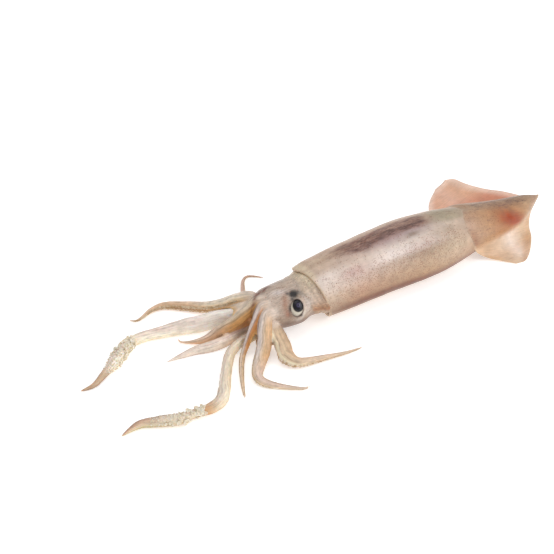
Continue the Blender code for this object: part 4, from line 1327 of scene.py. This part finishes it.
def makeHead(material):
    plan = headPlan
    names = [name for name in armPlans if name.startswith("arm")]
    meshes = [tubeMesh("headLoft", headGrid())]
    for name in names:
        grid = armSkin(armPlans[name], limbDetail["armRings"], limbDetail["armSides"])
        meshes.append(tubeMesh(name, grid))
    webs = []
    for first, firstReach, second, secondReach, colour in webPlans:
        lower, upper, middle = webSlab(armPlans[first], firstReach, armPlans[second], secondReach)
        meshes.append(closedSheet("web", lower, upper))
        webs.append((middle, colour))
    mesh = remeshed(joinMeshes("headSkin", meshes), plan["voxel"])
    points = meshPoints(mesh)
    away = np.linalg.norm(points - [crownPlan["x"] - 2, crownPlan["y"], crownPlan["z"]], axis=1)
    atCrown = ease(crownPlan["blend"] + 4, crownPlan["blend"] - 6, away)
    points = relax(mesh, plan["relaxWeight"] + plan["relaxAtCrown"] * atCrown, plan["relaxRounds"])
    points = openEyes(points)
    points[:, 2] = np.maximum(points[:, 2], 0.0)
    setMeshPoints(mesh, points)
    which, share, turn, gap, along = nearestLimb(points, names, webs)
    outside = headDistance(points)
    beyond = ease(-133, -141, points[:, 0] + 0.5 * (points[:, 2] - 17))
    onArm = np.maximum(ease(0.2, 3.0, outside) * ease(2.5, 1.0, gap), beyond)
    colours = headColours(points)
    limbPaint = np.zeros_like(colours)
    for number, name in enumerate(names):
        rows = which == number
        limbPaint[rows] = limbColours(armPlans[name], share[rows], turn[rows], points[rows])
    for number, (_, colour) in enumerate(webs):
        rows = which == len(names) + number
        limbPaint[rows] = colourAt(((0, "C9AE96"), (0.4, colour), (0.8, colour), (1, "E0B070")), share[rows])
    rootColour = colours * 0.25 + hexRgb("DCC8B8") * 0.75
    young = ease(0.02, 0.15, share)[:, None]
    limbPaint = rootColour * (1 - young) + limbPaint * young
    colours = colours * (1 - onArm[:, None]) + limbPaint * onArm[:, None]
    colours = colours * (1 + 0.05 * ripple(points, 9.0, 31)[:, None])
    colours = crownStreak(colours, points)
    dots = (1 - onArm) * (0.30 + 0.25 * ripple(points, 9.0, 33))
    dots = dots * ease(0.9, 1.3, lidPlace(points, "left")[0])
    onHead = (onArm < 0.5)[:, None]
    grain = np.stack([along, turn * 0.06, 30.0 * which], -1)
    grain = np.where(onHead, points, grain)
    setPaint(mesh, colours, dots, np.zeros(len(points)), grain)
    mesh.shade_smooth()
    print("head and arms:", len(mesh.vertices), "points")
    addFlesh("headAndArms", mesh, material, ["head"] + names)


def makeTentacles(material):
    for name in ("tentacle_left", "tentacle_right"):
        plan = armPlans[name]
        grid = armSkin(plan, limbDetail["tentacleRings"], limbDetail["tentacleSides"])
        mesh = tubeMesh(name + "_flesh", grid)
        points = meshPoints(mesh)
        _, share, turn, _, along = nearestLimb(points, [name], [])
        colours = limbColours(plan, share, turn, points)
        if name == "tentacle_left":
            colours = tint(colours, "CE9A62", 0.8 * bump(0.635, 0.04, share))
        else:
            colours = tint(colours, "E6D8B4", 0.6 * bump(0.62, 0.05, share))
            # near white round the root is painted light, to offset the shadow that the arms above cast there
            colours = tint(colours, "FFF8F0", 0.8 * bump(0.17, 0.16, share))
        colours = colours * (1 + 0.05 * ripple(points, 8.0, 41)[:, None])
        grain = np.stack([along, turn * 0.07, np.full(len(points), 500.0)], -1)
        setPaint(mesh, colours, np.zeros(len(points)), np.zeros(len(points)), grain)
        addFlesh(name + "_flesh", mesh, material, [name])


# suckers: one small cup repeated on points that know which way they face
cupPlan = {
    "height": 0.9,              # of the stalk, in radii, unless a piece sets its own
    "lip": 0.30,                # thickness of the rim, in radii
    "lipSides": 5,
    "ringSides": 10,
    "spacing": 2.3,             # between suckers of a row, in radii
}
armCupPlan = {
    "size": 1.0,                # radius at an arm's thickest sucker
    "shape": {"Stalk Height": 0.55, "Lip": 0.28},
    "leastShare": 0.25,         # of the size, where the arm is thinnest
    "fullRadius": 4.2,          # of an arm, over which the size grows by one
    "firstShare": 0.6,          # of the size, at the start of a row
    "growReach": 0.1,
    "stagger": 0.008,           # share of the arm that every other row starts later
    "spacing": 1.15,
    "sink": 0.35,               # into the skin, in radii
    "clearance": 0.75,          # over the floor, in radii
}
clubPlan = {
    # share of the length where the suckers start, grow full and end; row turns
    "tentacle_left": (0.64, 0.665, 0.87, (-98, -64, -30, 4, 38, 72)),
    "tentacle_right": (0.60, 0.64, 0.85, (-94, -60, -26, 8, 42, 76)),
    "size": 2.3,
    "shape": {"Stalk Height": 1.15, "Lip": 0.22},
    "least": 0.35,              # smallest radius
    "sizes": (0.5, 1.15),       # limits of a cup's share of the size
    "stretch": ((0.6, 1.2), (0.6, 1.2), (0.6, 1.3)),
    "endShrink": 0.72,          # towards the tip
    "edgeShrink": 0.3,          # towards the outer rows
    "looseness": 24.0,          # degrees that a cup may lean
    "shift": 0.3,               # share of the lean that moves a cup round
    "tilt": 0.75,
    "stagger": 0.012,
    "spacings": (0.9, 1.25),
    "leastSpacing": 0.7,
    "sink": 0.25,
    "clearance": 0.9,
    "seed": 7,
}


def cupTree(name, material):
    # a cup with a thick rim on each point, turned to the point's facing and scaled by its size
    tree = bpy.data.node_groups.new(name, "GeometryNodeTree")
    make = tree.interface.new_socket
    make("Points", in_out="INPUT", socket_type="NodeSocketGeometry")
    for label, kind, value in (("Stalk Height", "Float", cupPlan["height"]), ("Lip", "Float", cupPlan["lip"]),
                               ("Ring Sides", "Int", cupPlan["ringSides"]),
                               ("Lip Sides", "Int", cupPlan["lipSides"])):
        socket = make(label, in_out="INPUT", socket_type="NodeSocket" + kind)
        socket.default_value = value
    make("Cups", in_out="OUTPUT", socket_type="NodeSocketGeometry")
    given = addNode(tree, "NodeGroupInput", (-1200, 0)).outputs
    end = addNode(tree, "NodeGroupOutput", (1200, 0))
    ring = addNode(tree, "GeometryNodeCurvePrimitiveCircle", (-900, 300), Radius=0.95,
                   Resolution=given["Ring Sides"])
    lip = addNode(tree, "GeometryNodeCurvePrimitiveCircle", (-900, 100), Resolution=given["Lip Sides"],
                  Radius=given["Lip"])
    rim = addNode(tree, "GeometryNodeCurveToMesh", (-650, 250), Curve=ring.outputs["Curve"])
    feed(tree, rim.inputs["Profile Curve"], lip.outputs["Curve"])
    stalk = addNode(tree, "GeometryNodeMeshCone", (-900, -200), Vertices=given["Ring Sides"],
                    Depth=given["Stalk Height"])
    setInputs(tree, stalk, {"Radius Top": 0.92, "Radius Bottom": 0.55})
    lift = addNode(tree, "ShaderNodeCombineXYZ", (-650, -50), Z=given["Stalk Height"])
    raised = addNode(tree, "GeometryNodeTransform", (-400, 200), Geometry=rim.outputs["Mesh"],
                     Translation=lift.outputs["Vector"])
    cup = addNode(tree, "GeometryNodeJoinGeometry", (-150, 100), Geometry=raised.outputs["Geometry"])
    feed(tree, cup.inputs["Geometry"], stalk.outputs["Mesh"])
    facing = addNode(tree, "GeometryNodeInputNamedAttribute", (-650, -400), data_type="FLOAT_VECTOR",
                     Name="facing")
    size = addNode(tree, "GeometryNodeInputNamedAttribute", (-650, -600), data_type="FLOAT_VECTOR",
                   Name="size")
    align = addNode(tree, "FunctionNodeAlignRotationToVector", (-400, -400), axis="Z",
                    Vector=facing.outputs[0])
    spread = addNode(tree, "GeometryNodeInstanceOnPoints", (150, 0), Points=given["Points"],
                     Instance=cup.outputs["Geometry"], Rotation=align.outputs["Rotation"],
                     Scale=size.outputs[0])
    real = addNode(tree, "GeometryNodeRealizeInstances", (450, 0), Geometry=spread.outputs["Instances"])
    smooth = addNode(tree, "GeometryNodeSetShadeSmooth", (650, 0), Geometry=real.outputs["Geometry"])
    paint = addNode(tree, "GeometryNodeSetMaterial", (850, 0), Geometry=smooth.outputs["Geometry"],
                    Material=material)
    feed(tree, end.inputs["Cups"], paint.outputs["Geometry"])
    return tree


def socketId(tree, label):
    for item in tree.interface.items_tree:
        if item.item_type == "SOCKET" and item.in_out == "INPUT" and item.name == label:
            return item.identifier


def growCups(name, points, facings, sizes, tree, settings):
    mesh = bpy.data.meshes.new(name + "Guide")
    mesh.from_pydata((np.array(points) * mm).tolist(), [], [])
    setAttribute(mesh, "facing", "FLOAT_VECTOR", facings)
    setAttribute(mesh, "size", "FLOAT_VECTOR", np.array(sizes) * mm)
    guide = addObject(name + "Guide", mesh)
    modifier = guide.modifiers.new("cups", "NODES")
    modifier.node_group = tree
    for label, value in settings.items():
        modifier[socketId(tree, label)] = value
    graph = bpy.context.evaluated_depsgraph_get()
    plain = bpy.data.meshes.new_from_object(guide.evaluated_get(graph))
    guide.modifiers.remove(modifier)
    bpy.data.objects.remove(guide)
    plain.name = name
    return plain


def surfaceAt(plan, line, radius, share, right, above, place, turn):
    # point on the skin and the way it faces, at a share of the length and a turn from the roll
    index = int(np.argmin(np.abs(share - place)))
    full = turn + float(rollAt(plan, share[index]))
    reach = float(armSection(plan, share[index], radius[index], full))
    way = above[index] * math.cos(math.radians(full)) + right[index] * math.sin(math.radians(full))
    return line[index] + way * reach, way, radius[index]


def makeArmCups(tree):
    make = armCupPlan
    points, facings, sizes = [], [], []
    for plan in armPlans.values():
        if not plan["cups"]:
            continue
        line, radius, share, right, above = armLine(plan, limbDetail["cupSteps"])
        length = lengthsAlong(line)[-1]
        rows, first, last = plan["cups"]
        for row, turn in enumerate(rows):
            place = first + make["stagger"] * (row % 2)
            while place < last:
                point, way, thick = surfaceAt(plan, line, radius, share, right, above, place, turn)
                grown = float(ease(first, first + make["growReach"], place))
                grown = make["firstShare"] + (1 - make["firstShare"]) * grown
                size = make["size"] * min(1.0, make["leastShare"] + thick / make["fullRadius"]) * grown
                if point[2] + way[2] * size > make["clearance"] * size:
                    points.append(point - way * make["sink"] * size)
                    facings.append(way)
                    sizes.append((size, size, size))
                place += cupPlan["spacing"] * size * make["spacing"] / length
    print("arm suckers:", len(points))
    mesh = growCups("armSuckers", points, facings, sizes, tree, make["shape"])
    addPiece("armSuckers", mesh)


def makeClubCups(tree):
    make = clubPlan
    draw = random.Random(make["seed"])
    points, facings, sizes = [], [], []
    for name in ("tentacle_left", "tentacle_right"):
        plan = armPlans[name]
        first, full, last, rows = make[name]
        centre = (len(rows) - 1) / 2
        line, radius, share, right, above = armLine(plan, limbDetail["cupSteps"])
        length = lengthsAlong(line)[-1]
        for row, turn in enumerate(rows):
            place = first + make["stagger"] * (row % 2)
            while place < last:
                leant = turn + make["shift"] * (draw.uniform(-1, 1) * make["looseness"])
                point, way, _ = surfaceAt(plan, line, radius, share, right, above, place, leant)
                ending = 1 - make["endShrink"] * ease(full + 0.03, last, place)
                grown = float(ease(first - 0.03, full, place) * ending)
                middle = 1.0 - make["edgeShrink"] * abs(row - centre) / centre
                size = make["size"] * grown * middle * draw.uniform(*make["sizes"])
                size = max(size, make["least"])
                tilt = Vector((draw.uniform(-1, 1), draw.uniform(-1, 1), draw.uniform(-0.3, 0.6)))
                facing = np.array((Vector(way) + tilt * make["tilt"]).normalized())
                if point[2] + facing[2] * size > make["clearance"] * size:
                    points.append(point - way * make["sink"] * size)
                    facings.append(facing)
                    sizes.append([size * draw.uniform(*limits) for limits in make["stretch"]])
                room = cupPlan["spacing"] * max(size, make["leastSpacing"])
                place += room * draw.uniform(*make["spacings"]) / length
    print("club suckers:", len(points))
    mesh = growCups("clubSuckers", points, facings, sizes, tree, make["shape"])
    addPiece("clubSuckers", mesh)


def cupMaterial(name, pale, dark):
    material, tree, shader = newMaterial(name)
    coords = addNode(tree, "ShaderNodeTexCoord", (-900, 0)).outputs["Object"]
    clouds = noiseNode(tree, (-700, 0), coords, 420.0, 3.0)
    share = rampNode(tree, (-500, 0), clouds, 0.35, 0.65)
    colour = mixNode(tree, (-250, 0), share, (*hexRgb(dark), 1), (*hexRgb(pale), 1))
    setInputs(tree, shader, {
        "Base Color": colour,
        "Roughness": 0.4,
        "Coat Weight": 0.2,
        "Coat Roughness": 0.2,
        "Subsurface Weight": 0.25,
        "Subsurface Radius": (1.0, 0.7, 0.5),
        "Subsurface Scale": 0.0015,
    })
    return material


# eyes

def eyeMaterial():
    material, tree, shader = newMaterial("wetEye")
    place = attributeNode(tree, (-900, 0), "irisRing")
    ramp = addNode(tree, "ShaderNodeValToRGB", (-500, 0), Fac=place)
    # shares of the colours' reach: lens, ring round it (a painted glint), iris, edge, white
    stops = ((0.0, "16121E"), (0.05, "1A1624"), (0.07, "504A66"), (0.11, "3A3550"), (0.17, "191520"),
             (0.34, "100D15"), (0.39, "1C1820"), (0.425, "B8AE9C"), (0.46, "E0D9C9"), (0.62, "DCD3C2"),
             (1.0, "B8A28E"))
    marks = ramp.color_ramp.elements
    for share, _ in stops[1:-1]:
        marks.new(share)
    for mark, (_, hexText) in zip(marks, stops):
        mark.color = (*hexRgb(hexText), 1)
    setInputs(tree, shader, {
        "Base Color": ramp.outputs["Color"],
        "Roughness": 0.25,
        "Specular IOR Level": 0.2,
        "Coat Weight": 0.35,
        "Coat Roughness": 0.04,
    })
    return material


def makeEye(side, material):
    # a ball whose pole looks along the gaze, with the iris a little off the pole
    centre, gaze, forwards, above = eyeFrame(side)
    shape = bmesh.new()
    bmesh.ops.create_uvsphere(shape, u_segments=72, v_segments=60, radius=1.0)
    mesh = bpy.data.meshes.new(side + "Eyeball")
    shape.to_mesh(mesh)
    shape.free()
    local = meshPoints(mesh) * mm
    size, middle = eyePlan["size"], eyePlan["gapPlace"]
    ahead = local[:, 0] * size[0] + middle[0]
    high = local[:, 1] * size[1] + middle[1]
    iris, irisSize = eyePlan["irisPlace"], eyePlan["irisSize"]
    ring = np.sqrt(((ahead - iris[0]) / irisSize[0]) ** 2 + ((high - iris[1]) / irisSize[1]) ** 2)
    ring = np.where(local[:, 2] > 0, ring, eyePlan["colourReach"])
    depth = local[:, 2] * size[2] + 0.5 * ease(1.05, 0.6, ring)
    points = centre + ahead[:, None] * forwards + high[:, None] * above + depth[:, None] * gaze
    setMeshPoints(mesh, points)
    faceOutwards(mesh)
    setAttribute(mesh, "irisRing", "FLOAT", np.clip(ring / eyePlan["colourReach"], 0, 1))
    mesh.shade_smooth()
    addFlesh(side + "Eyeball", mesh, material, ["eye_" + side])


skin = skinMaterial("moistSkin", skinFinish)
finFinish = dict(skinFinish, mottleDepth=0.10, fleshGlow=0.08, fibre=0.07)
finSkin = skinMaterial("thinFinSkin", finFinish)
headFinish = dict(skinFinish, mottleSize=0.0032, mottleDepth=0.14, fleshGlow=0.12, glowDepth=0.0014,
                  fibre=0.18, fibreDepth=0.0004, wetCoat=0.32)
fleshFinish = dict(headFinish, fibre=0.20, mottleDepth=0.08, fleshGlow=0.4, glowDepth=0.003)
headSkin = skinMaterial("headSkin", headFinish)
flesh = skinMaterial("tentacleFlesh", fleshFinish)
makeMantle(skin)
print("mantle made")
makeFins(finSkin)
print("fins made")
makeHead(headSkin)
makeTentacles(flesh)
print("head, arms and tentacles made")
armCup = cupMaterial("armCup", "F0DCC0", "CBA880")
clubCup = cupMaterial("clubCup", "FFF6E4", "F2E0C4")
makeArmCups(cupTree("armCups", armCup))
makeClubCups(cupTree("clubCups", clubCup))
print("suckers made")
wetEye = eyeMaterial()
makeEye("left", wetEye)
makeEye("right", wetEye)
print("eyes made")

# floor, light and camera

studio = {
    "floorSize": 6.0,
    "floorGlow": 0.42,
    "worldLight": 0.53,
    "keyPlace": (0.9, -1.3, 1.2),
    "keySize": 1.6,
    "keyPower": 18.5,
    "topPlace": (-0.2, 0.6, 2.0),
    "topSize": 2.2,
    "topPower": 12.0,
    "aim": (-0.05, 0.0, 0.02),
}
cameraPlan = {
    "lens": 132.978,
    "sensor": 36.0,
    "place": (-0.82588566, -0.98174695, 0.88956992),
    "tilt": 55.0,               # degrees up from straight down
    "turn": -35.5,
    "reach": 20.0,
}


def makeStudio():
    mesh = bpy.data.meshes.new("whiteFloor")
    half = studio["floorSize"] / 2
    corners = [(-half, -half, 0), (half, -half, 0), (half, half, 0), (-half, half, 0)]
    mesh.from_pydata(corners, [], [(0, 1, 2, 3)])
    floor = addObject("whiteFloor", mesh)
    material, tree, shader = newMaterial("whiteFloor")
    setInputs(tree, shader, {
        "Base Color": (0.93, 0.93, 0.93, 1),
        "Emission Color": (1.0, 1.0, 1.0, 1),
        "Emission Strength": studio["floorGlow"],
        "Roughness": 0.9,
        "Specular IOR Level": 0.1,
    })
    mesh.materials.append(material)
    world = bpy.data.worlds.new("studio")
    bpy.context.scene.world = world
    world.use_nodes = True
    background = world.node_tree.nodes["Background"]
    setInputs(world.node_tree, background, {"Color": (1.0, 1.0, 1.0, 1), "Strength": studio["worldLight"]})
    for name in ("key", "top"):
        lamp = bpy.data.lights.new(name + "Light", "AREA")
        lamp.size = studio[name + "Size"]
        lamp.energy = studio[name + "Power"]
        light = addObject(name + "Light", lamp)
        light.location = studio[name + "Place"]
        aim = Vector(studio["aim"]) - Vector(studio[name + "Place"])
        light.rotation_euler = aim.to_track_quat("-Z", "Y").to_euler()


def makeCamera():
    lens = bpy.data.cameras.new("camera")
    lens.lens = cameraPlan["lens"]
    lens.sensor_width = cameraPlan["sensor"]
    lens.clip_end = cameraPlan["reach"]
    camera = addObject("camera", lens)
    camera.location = cameraPlan["place"]
    camera.rotation_euler = Euler((math.radians(cameraPlan["tilt"]), 0, math.radians(cameraPlan["turn"])))
    bpy.context.scene.camera = camera


makeStudio()
makeCamera()
bpy.context.scene.view_settings.view_transform = "Standard"
print("studio ready")


def plain(box):
    return [[float(value) for value in corner] for corner in box]
